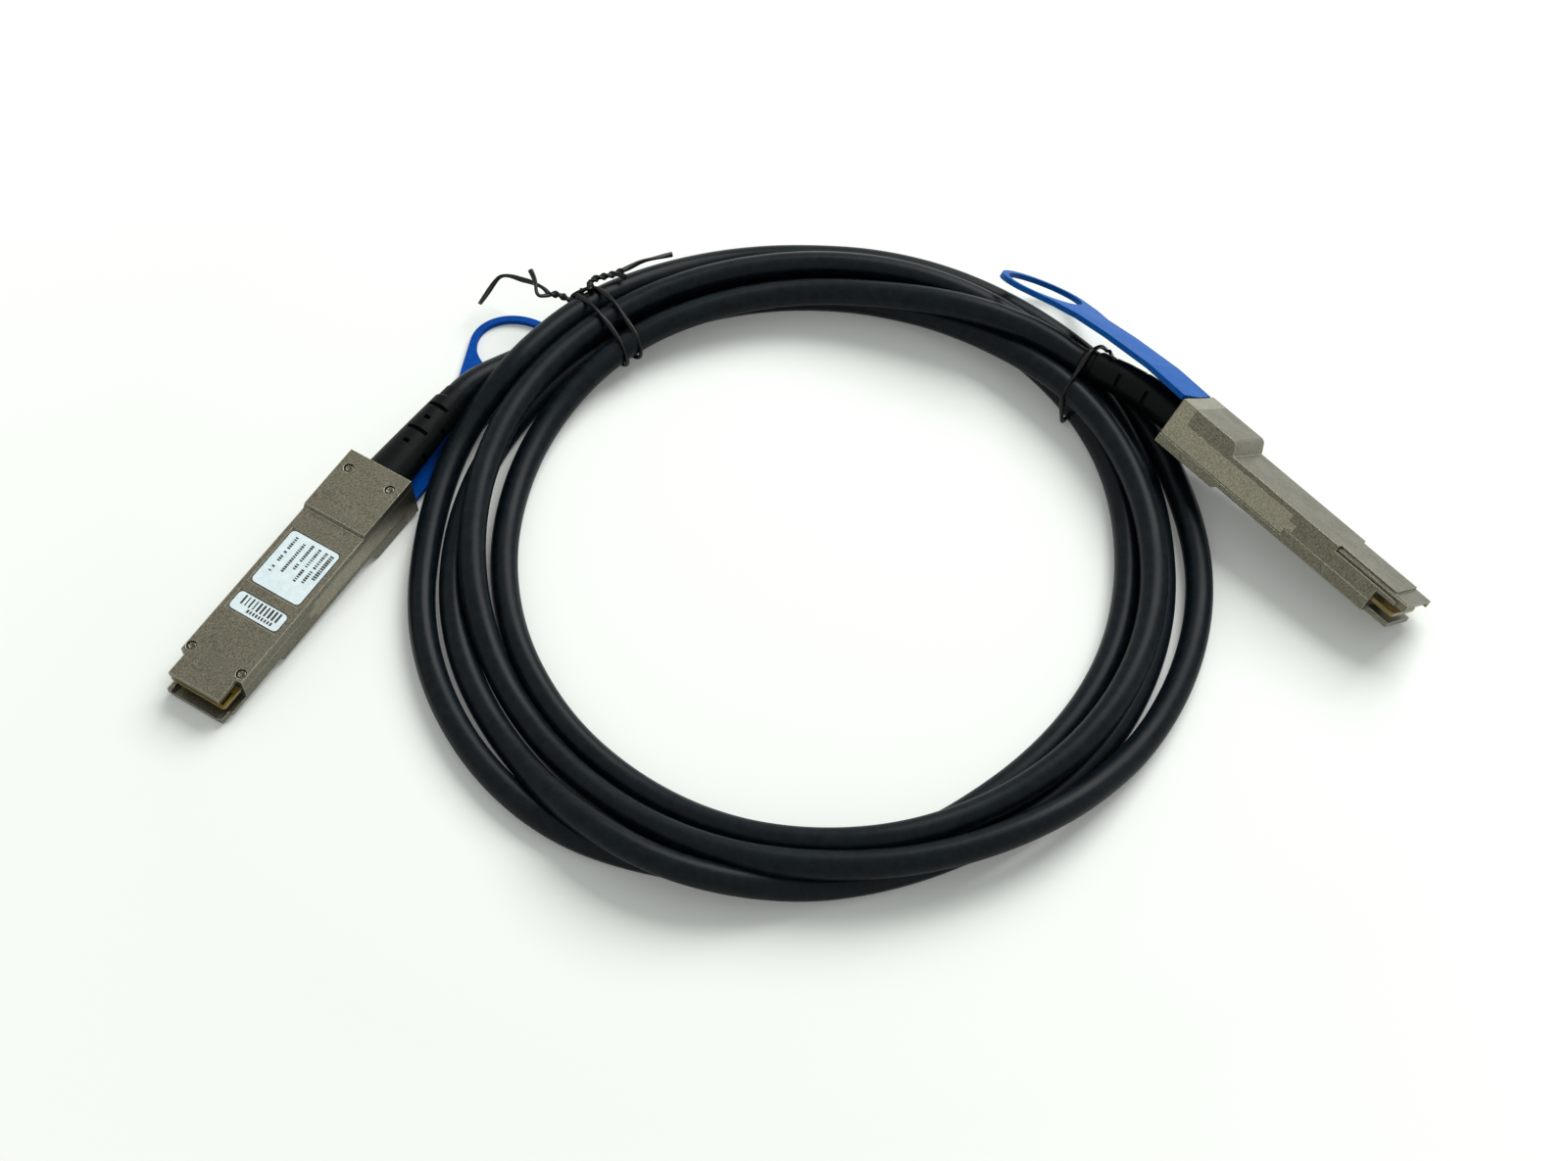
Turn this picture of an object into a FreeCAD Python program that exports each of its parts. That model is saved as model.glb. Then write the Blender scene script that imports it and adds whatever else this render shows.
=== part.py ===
"""Direct attach copper cable: two pluggable ends joined by one round cable wound in a coil.

Everything is in millimetres. Each plug is modelled in its own frame: x runs from the rear
face (0) to the nose, y runs across, and z runs from the label face (0) to the heat-sink
face. A placement then lays the plug where it rests. The row frame has +Z up, the floor at
z = 0, and its origin under the middle of the two plugs and their pull tabs.
"""
import FreeCAD, Part
import math
import os
import re

import Sketcher

SIZES = (
    ("shell_width", 18.35, "width of both die-cast shells"),
    ("shell_height", 8.5, "label face to heat-sink face"),
    ("seam_height", 3.1, "where the two shells meet"),
    ("shell_front", 66.0, "front of the full-width walls"),
    ("pad_depth", 1.0, "raised pad on the label face at the rear"),
    ("pad_end", 18.6, "length of that pad"),
    ("pad_slope", 0.7, "run of the slope in front of the pad"),
    ("hump_top", 11.7, "top of the rear hump"),
    ("hump_flat_end", 17.2, "front of the hump's flat"),
    ("hump_foot", 18.7, "foot of the hump's front"),
    ("hump_round", 1.8, "rounding of the hump's front edge"),
    ("floor_wall", 1.2, "wall of the label side"),
    ("roof_wall", 1.3, "wall of the heat-sink side"),
    ("cavity_start", 8.0, "rear end of the inner space"),
    ("cavity_front", 61.5, "front end of the inner space"),
    ("cavity_width", 14.2, "width of the inner space"),
    ("hump_cavity_front", 15.4, "front end of the space inside the hump"),
    ("nose_plate_front", 72.7, "front of the narrow plate on the label side"),
    ("nose_plate_width", 14.8, "width of that plate"),
    ("nose_plate_wall", 1.4, "thickness of that plate"),
    ("top_plate_front", 69.8, "front of the outer skin on the heat-sink side"),
    ("top_plate_width", 14.0, "width of that skin between the guide ledges"),
    ("lip_front", 74.2, "front of the lip and its two prongs"),
    ("lip_top", 7.9, "outer face of the lip"),
    ("lip_under", 7.1, "inner face of the lip"),
    ("prong_low", 6.0, "label-side face of the prongs"),
    ("ledge_start", 52.6, "rear end of the guide ledges"),
    ("ledge_top", 7.7, "top of the guide ledges"),
    ("rim_top", 6.95, "top of the thin outer rim"),
    ("rim_width", 0.48, "thickness of the outer rim"),
    ("rim_front", 71.4, "front of the outer rim"),
    ("gutter_width", 0.45, "gutter between rim and ledge"),
    ("gutter_floor", 6.3, "floor of that gutter"),
    ("sheet_wall", 0.8, "stainless sheet of the latch slider"),
    ("slide_gap", 0.05, "running gap round the slider"),
    ("band_end", 4.7, "front edge of the slider's rear band"),
    ("arm_low", 1.45, "lower edge of the slider's arms"),
    ("arm_high", 7.2, "upper edge of the slider's arms"),
    ("arm_end", 39.45, "front end of the arms"),
    ("tip_high", 5.55, "upper edge of the unlatching tips"),
    ("tip_end", 41.6, "front end of the unlatching tips"),
    ("slide_travel", 2.3, "how far the slider is pulled back"),
    ("spring_seat", 6.5, "rear seat of the return springs"),
    ("lug_back", 13.2, "rear face of the slider's spring lugs"),
    ("lug_wall", 1.0, "thickness of the spring lugs"),
    ("lug_low", 3.6, "lower edge of the spring lugs"),
    ("lug_high", 6.2, "upper edge of the spring lugs"),
    ("lug_reach", 2.2, "how far the lugs reach inwards"),
    ("spring_gap", 0.08, "end gap of the springs"),
    ("spring_wall", 0.25, "strip thickness of the folded springs"),
    ("spring_width", 1.3, "strip width of the folded springs"),
    ("spring_inset", 0.15, "how far the springs stay inside the lugs' edges"),
    ("axis_height", 4.75, "height of the cable's axis in the plug"),
    ("cable_bore", 8.8, "bore in the rear wall"),
    ("flange_bore", 10.1, "groove in that bore for the relief's flange"),
    ("flange_start", 1.2, "rear face of the relief's flange"),
    ("flange_end", 2.4, "front face of the relief's flange"),
    ("relief_stub", 3.2, "length of the relief inside the shells"),
    ("seat_gap", 0.05, "gap between the relief and its bore"),
    ("relief_width", 12.0, "width of the relief at the plug"),
    ("relief_depth", 9.8, "depth of the relief at the plug"),
    ("relief_length", 26.0, "length of the relief's collar"),
    ("relief_end", 8.4, "diameter at the end of the collar"),
    ("neck_length", 4.0, "length of the relief's neck"),
    ("neck_end", 7.2, "diameter at the end of the neck"),
    ("relief_sag_a", 0.6, "how far the first plug's relief sags to its heat-sink side"),
    ("relief_sag_b", -3.8, "how far the second plug's relief is bent to its label side"),
    ("flank_slot", 3.8, "length of the flex slots at the sides"),
    ("face_notch", 1.6, "length of the small notches in the faces"),
    ("cross_slot", 5.8, "length of the flex slots across the faces"),
    ("slot_width", 1.15, "width of the flex slots"),
    ("slot_depth", 1.3, "depth of the flex slots"),
    ("slot_first", 9.8, "distance of the first flex slot from the plug"),
    ("slot_pitch", 8.5, "distance from one flex slot to its next of a kind"),
    ("slot_stagger", 4.3, "how far the crossways slots lie behind the side slots"),
    ("screw_rear", 4.8, "place of the rear screws"),
    ("screw_rear_pitch", 12.5, "distance between the rear screws"),
    ("screw_front", 64.0, "place of the front screws"),
    ("screw_front_pitch", 15.0, "distance between the front screws"),
    ("head_width", 2.3, "screw head diameter"),
    ("head_height", 0.7, "screw head height"),
    ("shank_width", 1.2, "screw shank diameter"),
    ("shank_length", 5.2, "screw length under the head"),
    ("head_gap", 0.15, "gap round the screw heads"),
    ("label_depth", 0.2, "recess of the labels"),
    ("label_wall", 0.12, "thickness of the labels"),
    ("label_margin", 0.45, "gap between a label and its recess"),
    ("large_label_start", 25.7, "rear edge of the large label"),
    ("large_label_end", 42.35, "front edge of the large label"),
    ("small_label_start", 45.75, "rear edge of the small label"),
    ("small_label_end", 50.95, "front edge of the small label"),
    ("label_width", 14.4, "width of both labels"),
    ("label_round", 1.2, "corner radius of the labels"),
    ("card_start", 34.0, "rear edge of the paddle card"),
    ("card_front", 72.4, "front edge of the paddle card"),
    ("card_width", 16.4, "width of the paddle card at the nose"),
    ("card_neck", 13.6, "width of the paddle card inside the shells"),
    ("card_shoulder", 61.7, "where the card widens"),
    ("card_wall", 1.0, "thickness of the paddle card"),
    ("card_gap", 0.05, "gap over the card in its slot"),
    ("comb_start", 30.0, "rear face of the wire comb"),
    ("comb_width", 13.4, "width of the wire comb"),
    ("core_width", 5.8, "diameter of the cable core inside the shells"),
    ("core_end", 12.0, "front end of the cable core"),
    ("ferrule_start", 6.6, "rear end of the crimp ferrule"),
    ("ferrule_end", 11.2, "front end of the crimp ferrule"),
    ("ferrule_wall", 0.5, "wall of the crimp ferrule"),
    ("ferrule_gap", 0.05, "gap between core and ferrule"),
    ("wire_width", 1.15, "diameter of one shielded wire pair"),
    ("wire_pitch", 1.6, "spacing of the wire pairs at the comb"),
    ("wire_bundle", 1.3, "spacing of the wire pairs at the core"),
    ("tab_wall", 1.4, "thickness of the pull tabs"),
    ("tab_level", 11.2, "height of a pull tab where it leaves the slider"),
    ("tab_strap", 14.2, "width of a pull tab's strap"),
    ("tab_flare", 38.0, "where the strap widens into its loop"),
    ("loop_centre", 54.5, "centre of the finger loop behind the plug"),
    ("loop_length", 22.0, "outer length of the finger loop"),
    ("loop_width", 26.6, "outer width of the finger loop"),
    ("loop_band", 1.8, "width of the band round the finger loop"),
    ("tongue_length", 4.0, "slider tongue inside the pull tab"),
    ("tongue_width", 10.0, "width of that tongue"),
    ("tongue_wall", 0.5, "thickness of that tongue"),
    ("cable_width", 6.8, "outer diameter of the cable"),
    ("coil_inner", 141.0, "inner diameter of the coil"),
    ("coil_outer", 193.0, "outer diameter of the coil"),
    ("coil_height", 9.6, "height of the coil"),
    ("coil_shoulder", 7.0, "height of the coil at its outer turn"),
    ("coil_crown", 166.0, "diameter where the coil's top starts to fall"),
    ("coil_bevel", 2.4, "bevel along the coil's edges"),
    ("coil_x", 1.83, "coil centre in the row frame"),
    ("coil_y", -20.39, "coil centre in the row frame"),
    ("lead_a_straight", 10.0, "straight run of the cable behind the first plug's relief"),
    ("lead_b_straight", 8.0, "straight run of the cable behind the second plug's relief"),
    ("tab_clear", 2.8, "free height under the coil where the first pull tab lies"),
    ("strap_clear_start", 6.0, "where that space starts behind the first plug"),
    ("strap_clear", 17.0, "width of that space along the strap"),
    ("loop_clear", 33.0, "width of that space round the finger loop"),
    ("tie_wall", 1.1, "thickness of the twist ties"),
    ("tie_main_angle", 128.5, "place of the double twist tie round the coil"),
    ("tie_main_pitch", 4.6, "distance between the double tie's two wraps"),
    ("tie_small_angle", 39.0, "place of the single twist tie round the coil"),
    ("tie_small_inner", 152.0, "inner diameter of the turns that the single tie holds"),
    ("tie_small_outer", 183.0, "outer diameter of the turns that the single tie holds"),
    ("tie_small_height", 15.9, "height of the turns that the single tie holds"),
    ("plug_a_x", -104.9, "first plug's rear corner point, from the coil centre"),
    ("plug_a_y", 19.5, "first plug's rear corner point, from the coil centre"),
    ("plug_a_z", 12.585, "first plug's height"),
    ("plug_a_heading", -122.66, "direction of the first plug's nose"),
    ("plug_a_dip", 3.2, "how far the first plug's nose points down"),
    ("plug_a_roll", 180.0, "first plug lies with its label face up"),
    ("plug_b_x", 89.4, "second plug's rear corner point, from the coil centre"),
    ("plug_b_y", 31.1, "second plug's rear corner point, from the coil centre"),
    ("plug_b_z", 10.44, "second plug's height"),
    ("plug_b_heading", -47.2, "direction of the second plug's nose"),
    ("plug_b_dip", 4.0, "how far the second plug's nose points down"),
    ("plug_b_roll", -40.64, "how far the second plug is turned about its axis"),
    ("tab_b_swing", 10.0, "how far the second pull tab swings sideways"),
)
NAMES = {name for name, value, note in SIZES}
WORD = re.compile(r"[a-z][a-z_]+")
VECTOR = FreeCAD.Vector

doc = FreeCAD.newDocument("DirectAttachCable")
sheet = doc.addObject("Spreadsheet::Sheet", "Dims")
for row, (name, value, note) in enumerate(SIZES, start=1):
    sheet.set(f"A{row}", name)
    sheet.set(f"B{row}", str(value))
    sheet.set(f"C{row}", note)
    sheet.setAlias(f"B{row}", name)
doc.recompute()


def cells(text):
    """Turns a formula in plain size names into one that names the sheet."""
    return WORD.sub(lambda word: "Dims." + word.group() if word.group() in NAMES else word.group(), text)


def size(text):
    """Works out a formula of size names as a number."""
    return float(sheet.evalExpression(cells(text)))


# --- sketches and features -------------------------------------------------------------

def origin_plane(body, role):
    """Finds one of a body's own origin planes."""
    return next(item for item in body.Origin.OriginFeatures if item.Role == role)


def draw(body, name, role, level, loops=(), circles=()):
    """Draws closed outlines and circles on a plane, each point bound to the sheet."""
    sketch = body.newObject("Sketcher::SketchObject", name)
    sketch.AttachmentSupport = (origin_plane(body, role), [""])
    sketch.MapMode = "FlatFace"
    sketch.setExpression("AttachmentOffset.Base.z", cells(level))
    for loop in loops:
        points = [VECTOR(size(across), size(along), 0) for across, along in loop]
        first = sketch.GeometryCount
        ring = points + points[:1]
        sketch.addGeometry([Part.LineSegment(a, b) for a, b in zip(ring, ring[1:])], False)
        for index, (across, along) in enumerate(loop):
            line = first + index
            after = first + (index + 1) % len(loop)
            sketch.addConstraint(Sketcher.Constraint("Coincident", line, 2, after, 1))
            for kind, value in (("DistanceX", across), ("DistanceY", along)):
                bind(sketch, Sketcher.Constraint(kind, -1, 1, line, 1, size(value)), value)
    for across, along, width in circles:
        centre = VECTOR(size(across), size(along), 0)
        line = sketch.addGeometry(Part.Circle(centre, VECTOR(0, 0, 1), size(width) / 2), False)
        bind(sketch, Sketcher.Constraint("DistanceX", -1, 1, line, 3, centre.x), across)
        bind(sketch, Sketcher.Constraint("DistanceY", -1, 1, line, 3, centre.y), along)
        bind(sketch, Sketcher.Constraint("Diameter", line, size(width)), width)
    return sketch


def bind(sketch, constraint, text):
    """Adds a constraint and ties its value to the sheet."""
    index = sketch.addConstraint(constraint)
    sketch.setExpression(f"Constraints[{index}]", cells(text))


def box(left, right, low, high):
    """Corners of a rectangle given by four formulas."""
    return ((left, low), (right, low), (right, high), (left, high))


def both_sides(left, right, inner, outer):
    """Two rectangles that mirror each other across the plug's middle plane."""
    return (box(left, right, inner, outer), box(left, right, f"-({outer})", f"-({inner})"))


def extrude(body, kind, sketch, depth, side="One side", back=False):
    """Pads or pockets a sketch and checks that the solid grew or shrank."""
    before = body.Shape.Volume if not body.Shape.isNull() else 0.0
    feature = body.newObject(kind, sketch.Name + "Step")
    feature.Profile = sketch
    feature.SideType = side
    feature.Reversed = back
    feature.setExpression("Length", cells(depth))
    doc.recompute()
    grown = feature.Shape.Volume - before
    if (grown <= 0) == (kind == "PartDesign::Pad"):
        raise RuntimeError(f"{body.Label}: {sketch.Name} changed the volume by {grown:.3f}")
    return feature


def pad(body, sketch, depth, side="One side", back=False):
    """Adds material from a sketch."""
    return extrude(body, "PartDesign::Pad", sketch, depth, side, back)


def pocket(body, sketch, depth, side="One side", back=False):
    """Takes material away from a sketch."""
    return extrude(body, "PartDesign::Pocket", sketch, depth, side, back)


def round_edges(body, radius, wanted, kind="PartDesign::Fillet"):
    """Rounds or bevels the edges whose middle point the test accepts."""
    base = body.Tip
    names = []
    for index, edge in enumerate(base.Shape.Edges, start=1):
        middle = edge.valueAt((edge.FirstParameter + edge.LastParameter) / 2)
        if wanted(edge, middle):
            names.append(f"Edge{index}")
    feature = body.newObject(kind, "Rounded" if kind.endswith("Fillet") else "Bevelled")
    feature.Base = (base, names)
    feature.setExpression("Radius" if kind.endswith("Fillet") else "Size", cells(radius))
    doc.recompute()
    return feature


def near(value, text, room=0.02):
    """Tells whether a coordinate lies at a formula's value."""
    return abs(value - size(text)) < room


def new_body(name):
    """Starts a sub-part as a PartDesign body."""
    body = doc.addObject("PartDesign::Body", name)
    body.Label = name
    return body


def primitive(kind, name, **formulas):
    """Adds a Part primitive with its sizes bound to the sheet."""
    item = doc.addObject(kind, name)
    for key, text in formulas.items():
        item.setExpression(key, cells(text))
    return item


def combine(kind, name, items):
    """Fuses, cuts or groups Part objects."""
    result = doc.addObject(kind, name)
    if kind == "Part::Cut":
        result.Base, result.Tool = items
    elif kind == "Part::Compound":
        result.Links = list(items)
    else:
        result.Shapes = list(items)
    return result


ACROSS = FreeCAD.Rotation(VECTOR(1, 1, 1), 120)   # turns z to x: circles stand across the plug
ALONG = FreeCAD.Rotation(VECTOR(0, 1, 0), 90)     # turns z to x: cylinders lie along the plug


# --- the die-cast shells ---------------------------------------------------------------

HALF = "shell_width / 2"
RECESS = "shell_width / 2 - sheet_wall - slide_gap"


def bottom_shell(tag):
    """Label-side shell: pad, floor, side walls, narrow nose plate, screw seats and recesses."""
    body = new_body(f"bottom_shell_{tag}")
    side = (("0", "-pad_depth"), ("pad_end", "-pad_depth"), ("pad_end + pad_slope", "0"),
            ("shell_front", "0"), ("shell_front", "seam_height"), ("0", "seam_height"))
    pad(body, draw(body, "SideOutline", "XZ_Plane", "0", [side]), "shell_width", "Symmetric")
    plate = box("shell_front - 1", "nose_plate_front", "-nose_plate_width / 2", "nose_plate_width / 2")
    pad(body, draw(body, "NosePlate", "XY_Plane", "0", [plate]), "nose_plate_wall")
    space = box("cavity_start", "cavity_front", "-cavity_width / 2", "cavity_width / 2")
    pocket(body, draw(body, "InnerSpace", "XY_Plane", "seam_height", [space]), "seam_height - floor_wall")
    arms = both_sides("-1", "arm_end + slide_gap", RECESS, f"{HALF} + 1")
    pocket(body, draw(body, "ArmRecess", "XY_Plane", "seam_height", arms),
           "seam_height - arm_low + slide_gap")
    cable_opening(body)
    for name, place, pitch, level in (("Rear", "screw_rear", "screw_rear_pitch", "-pad_depth"),
                                      ("Front", "screw_front", "screw_front_pitch", "0")):
        seats = [(place, f"{sign}{pitch} / 2", "head_width + 2 * head_gap") for sign in ("", "-")]
        holes = [(place, f"{sign}{pitch} / 2", "shank_width + 2 * head_gap") for sign in ("", "-")]
        pocket(body, draw(body, name + "Seats", "XY_Plane", level, circles=seats),
               "head_height + head_gap", back=True)
        pocket(body, draw(body, name + "Holes", "XY_Plane", level, circles=holes),
               "seam_height + pad_depth + 1", back=True)
    recess = [box(f"{name}_label_start - label_margin", f"{name}_label_end + label_margin",
                  "-label_width / 2 - label_margin", "label_width / 2 + label_margin")
              for name in ("large", "small")]
    pocket(body, draw(body, "LabelRecess", "XY_Plane", "0", recess), "label_depth", back=True)
    round_edges(body, "label_depth", lambda edge, middle: near(middle.z, "0")
                and (near(abs(middle.y), HALF) or near(middle.x, "nose_plate_front")),
                "PartDesign::Chamfer")
    return body


def cable_opening(body):
    """Bores the rear wall for the strain relief, with the groove that holds its flange."""
    bore = draw(body, "CableBore", "YZ_Plane", "-1", circles=[("0", "axis_height", "cable_bore")])
    pocket(body, bore, "cavity_start + 2", back=True)
    groove = draw(body, "FlangeGroove", "YZ_Plane", "flange_start - seat_gap",
                  circles=[("0", "axis_height", "flange_bore")])
    pocket(body, groove, "flange_end - flange_start + 2 * seat_gap", back=True)


def top_shell(tag):
    """Heat-sink-side shell: hump, skin, guide ledges, gutters, rims and the pronged lip."""
    body = new_body(f"top_shell_{tag}")
    side = (("0", "seam_height"), ("shell_front", "seam_height"), ("shell_front", "prong_low"),
            ("lip_front", "prong_low"), ("lip_front", "lip_top"), ("top_plate_front", "lip_top"),
            ("top_plate_front", "shell_height"), ("hump_foot", "shell_height"),
            ("hump_flat_end", "hump_top"), ("0", "hump_top"))
    pad(body, draw(body, "SideOutline", "XZ_Plane", "0", [side]), "shell_width", "Symmetric")
    round_edges(body, "hump_round", lambda edge, middle: near(middle.x, "hump_flat_end")
                and near(middle.z, "hump_top"))
    space = box("cavity_start", "cavity_front", "-cavity_width / 2", "cavity_width / 2")
    pocket(body, draw(body, "InnerSpace", "XY_Plane", "seam_height", [space]),
           "shell_height - roof_wall - seam_height", back=True)
    raised = box("cavity_start", "hump_cavity_front", "-cavity_width / 2", "cavity_width / 2")
    pocket(body, draw(body, "HumpSpace", "XY_Plane", "seam_height", [raised]),
           "hump_top - roof_wall - seam_height", back=True)
    slider_recesses(body)
    channel = both_sides("spring_seat", "lug_back + lug_wall + slide_gap",
                         f"{RECESS} - lug_reach - slide_gap", f"{RECESS} + 0.2")
    pocket(body, draw(body, "SpringChannel", "XY_Plane", "seam_height", channel),
           "lug_high + slide_gap - seam_height", back=True)
    cable_opening(body)
    card = box("cavity_front - 1", "shell_front + 1", "-card_width / 2 - card_gap",
               "card_width / 2 + card_gap")
    pocket(body, draw(body, "CardSlot", "XY_Plane", "seam_height", [card]), "card_wall + card_gap",
           back=True)
    mouth = box("shell_front", "lip_front + 1", "-top_plate_width / 2", "top_plate_width / 2")
    pocket(body, draw(body, "Mouth", "XY_Plane", "prong_low", [mouth]), "lip_under - prong_low", back=True)
    guide_ledges(body)
    for name, place, pitch in (("Rear", "screw_rear", "screw_rear_pitch"),
                               ("Front", "screw_front", "screw_front_pitch")):
        holes = [(place, f"{sign}{pitch} / 2", "shank_width") for sign in ("", "-")]
        pocket(body, draw(body, name + "Threads", "XY_Plane", "seam_height", circles=holes),
               "shank_length - 2", back=True)
    return body


def slider_recesses(body):
    """Sinks the sides and the rear of the hump so that the latch slider lies flush."""
    arms = both_sides("-1", "arm_end + slide_gap", RECESS, f"{HALF} + 1")
    pocket(body, draw(body, "ArmRecess", "XY_Plane", "seam_height", arms),
           "arm_high + slide_gap - seam_height", back=True)
    tips = both_sides("arm_end - 1", "tip_end + slide_gap", RECESS, f"{HALF} + 1")
    pocket(body, draw(body, "TipRecess", "XY_Plane", "seam_height", tips),
           "tip_high + slide_gap - seam_height", back=True)
    flanks = both_sides("-1", "band_end + slide_gap", RECESS, f"{HALF} + 1")
    pocket(body, draw(body, "BandFlanks", "XY_Plane", "hump_top", flanks), "hump_top - seam_height")
    crown = box("-1", "band_end + slide_gap", f"-({HALF}) - 1", f"{HALF} + 1")
    pocket(body, draw(body, "BandCrown", "XY_Plane", "hump_top", [crown]), "sheet_wall + slide_gap")


def guide_ledges(body):
    """Steps the skin's long edges down into a ledge, a gutter and a thin rim on each side."""
    ledge = both_sides("ledge_start", "lip_front + 1", "top_plate_width / 2", f"{HALF} + 1")
    pocket(body, draw(body, "Ledge", "XY_Plane", "shell_height", ledge), "shell_height - ledge_top")
    rim = both_sides("ledge_start", "lip_front + 1", f"{HALF} - rim_width", f"{HALF} + 1")
    pocket(body, draw(body, "Rim", "XY_Plane", "shell_height", rim), "shell_height - rim_top")
    gutter = both_sides("ledge_start", "lip_front + 1", f"{HALF} - rim_width - gutter_width",
                        f"{HALF} - rim_width")
    pocket(body, draw(body, "Gutter", "XY_Plane", "shell_height", gutter), "shell_height - gutter_floor")
    ends = both_sides("rim_front", "lip_front + 1", f"{HALF} - rim_width - gutter_width", f"{HALF} + 1")
    pocket(body, draw(body, "RimEnds", "XY_Plane", "shell_height", ends), "shell_height - prong_low + 1")


# --- the latch slider, its springs and its pull tab --------------------------------------

def latch_slider(tag):
    """Folded sheet: a band over the hump's rear, two side arms with tips, lugs and a tongue."""
    body = new_body(f"latch_slider_{tag}")
    inner = f"{HALF} - sheet_wall"
    band = ((f"-({HALF})", "arm_low"), (f"-({inner})", "arm_low"), (f"-({inner})", "hump_top - sheet_wall"),
            (inner, "hump_top - sheet_wall"), (inner, "arm_low"), (HALF, "arm_low"),
            (HALF, "hump_top"), (f"-({HALF})", "hump_top"))
    pad(body, draw(body, "Band", "YZ_Plane", "0", [band]), "band_end")
    arms = both_sides("0.5", "arm_end", inner, HALF)
    pad(body, draw(body, "Arms", "XY_Plane", "arm_low", arms), "arm_high - arm_low")
    tips = both_sides("arm_end - 0.5", "tip_end", inner, HALF)
    pad(body, draw(body, "Tips", "XY_Plane", "seam_height", tips), "tip_high - seam_height")
    lugs = both_sides("lug_back", "lug_back + lug_wall", f"{RECESS} - lug_reach", f"{inner} + 0.2")
    pad(body, draw(body, "Lugs", "XY_Plane", "lug_low", lugs), "lug_high - lug_low")
    tongue = box("-tongue_length", "0.5", "-tongue_width / 2", "tongue_width / 2")
    pad(body, draw(body, "Tongue", "XY_Plane", "hump_top - sheet_wall", [tongue]), "tongue_wall")
    return body


def return_springs(tag):
    """Two folded strip springs between the shell's seats and the slider's lugs."""
    springs = []
    legs = 8
    pitch = f"(lug_back - spring_seat - 2 * spring_gap - spring_wall) / {legs - 1}"
    low, high = "lug_low + spring_inset", "lug_high - spring_inset"
    rear, front = [], []
    for leg in range(0, legs, 2):
        start = f"spring_seat + spring_gap + {leg} * {pitch}"
        fold = f"spring_seat + spring_gap + {leg + 1} * {pitch}"
        first = low if leg == 0 else f"{low} + spring_wall"
        last = low if leg == legs - 2 else f"{low} + spring_wall"
        front += [(start, first), (start, high), (f"{fold} + spring_wall", high),
                  (f"{fold} + spring_wall", last)]
        rear += [(f"{start} + spring_wall", low), (f"{start} + spring_wall", f"{high} - spring_wall"),
                 (fold, f"{high} - spring_wall"), (fold, low)]
    for side, sign in (("left", ""), ("right", "-")):
        body = new_body(f"spring_{side}_{tag}")
        level = f"{sign}({RECESS} - lug_reach / 2)"
        strip = draw(body, f"Strip{side}", "XZ_Plane", level, [tuple(front + rear[::-1])])
        pad(body, strip, "spring_width", "Symmetric")
        springs.append(body)
    group = combine("Part::Compound", f"return_springs_{tag}", springs)
    group.Label = f"return_springs_{tag}"
    return group


def tab_outline():
    """Flat outline of a pull tab: a strap that flares into an oval finger loop with its hole."""
    half = size("tab_strap / 2")
    centre = VECTOR(-size("loop_centre"), 0, 0)
    along, across = size("loop_length / 2"), size("loop_width / 2")
    band = size("loop_band")
    reach = centre.x + size("tab_flare")
    # the strap's edges meet the oval where a line from the flare touches it
    ratio = math.hypot(reach / along, half / across)
    turn = math.atan2(half / across, -reach / along) + math.acos(1 / ratio)
    touch = VECTOR(centre.x + along * math.cos(turn), across * math.sin(turn), 0)
    mirrored = VECTOR(touch.x, -touch.y, 0)
    far = VECTOR(centre.x - along, 0, 0)
    wide = Part.Ellipse(VECTOR(0, across, 0) + centre, VECTOR(-along, 0, 0) + centre, centre)
    start, end = wide.parameter(touch), wide.parameter(mirrored)
    loop_arc = Part.ArcOfEllipse(wide, min(start, end), max(start, end))
    if loop_arc.toShape().distToShape(Part.Vertex(far))[0] > 0.01:
        loop_arc = Part.ArcOfEllipse(wide, max(start, end), min(start, end) + 2 * math.pi)
    flare = -size("tab_flare")
    edges = [Part.LineSegment(VECTOR(0, half, 0), VECTOR(flare, half, 0)).toShape(),
             Part.LineSegment(VECTOR(flare, half, 0), touch).toShape(), loop_arc.toShape(),
             Part.LineSegment(mirrored, VECTOR(flare, -half, 0)).toShape(),
             Part.LineSegment(VECTOR(flare, -half, 0), VECTOR(0, -half, 0)).toShape(),
             Part.LineSegment(VECTOR(0, -half, 0), VECTOR(0, half, 0)).toShape()]
    outer = Part.Wire(Part.__sortEdges__(edges))
    hole = Part.Ellipse(VECTOR(0, across - band, 0) + centre, VECTOR(band - along, 0, 0) + centre, centre)
    return Part.makeFace([outer, Part.Wire(hole.toShape())], "Part::FaceMakerBullseye")


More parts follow.
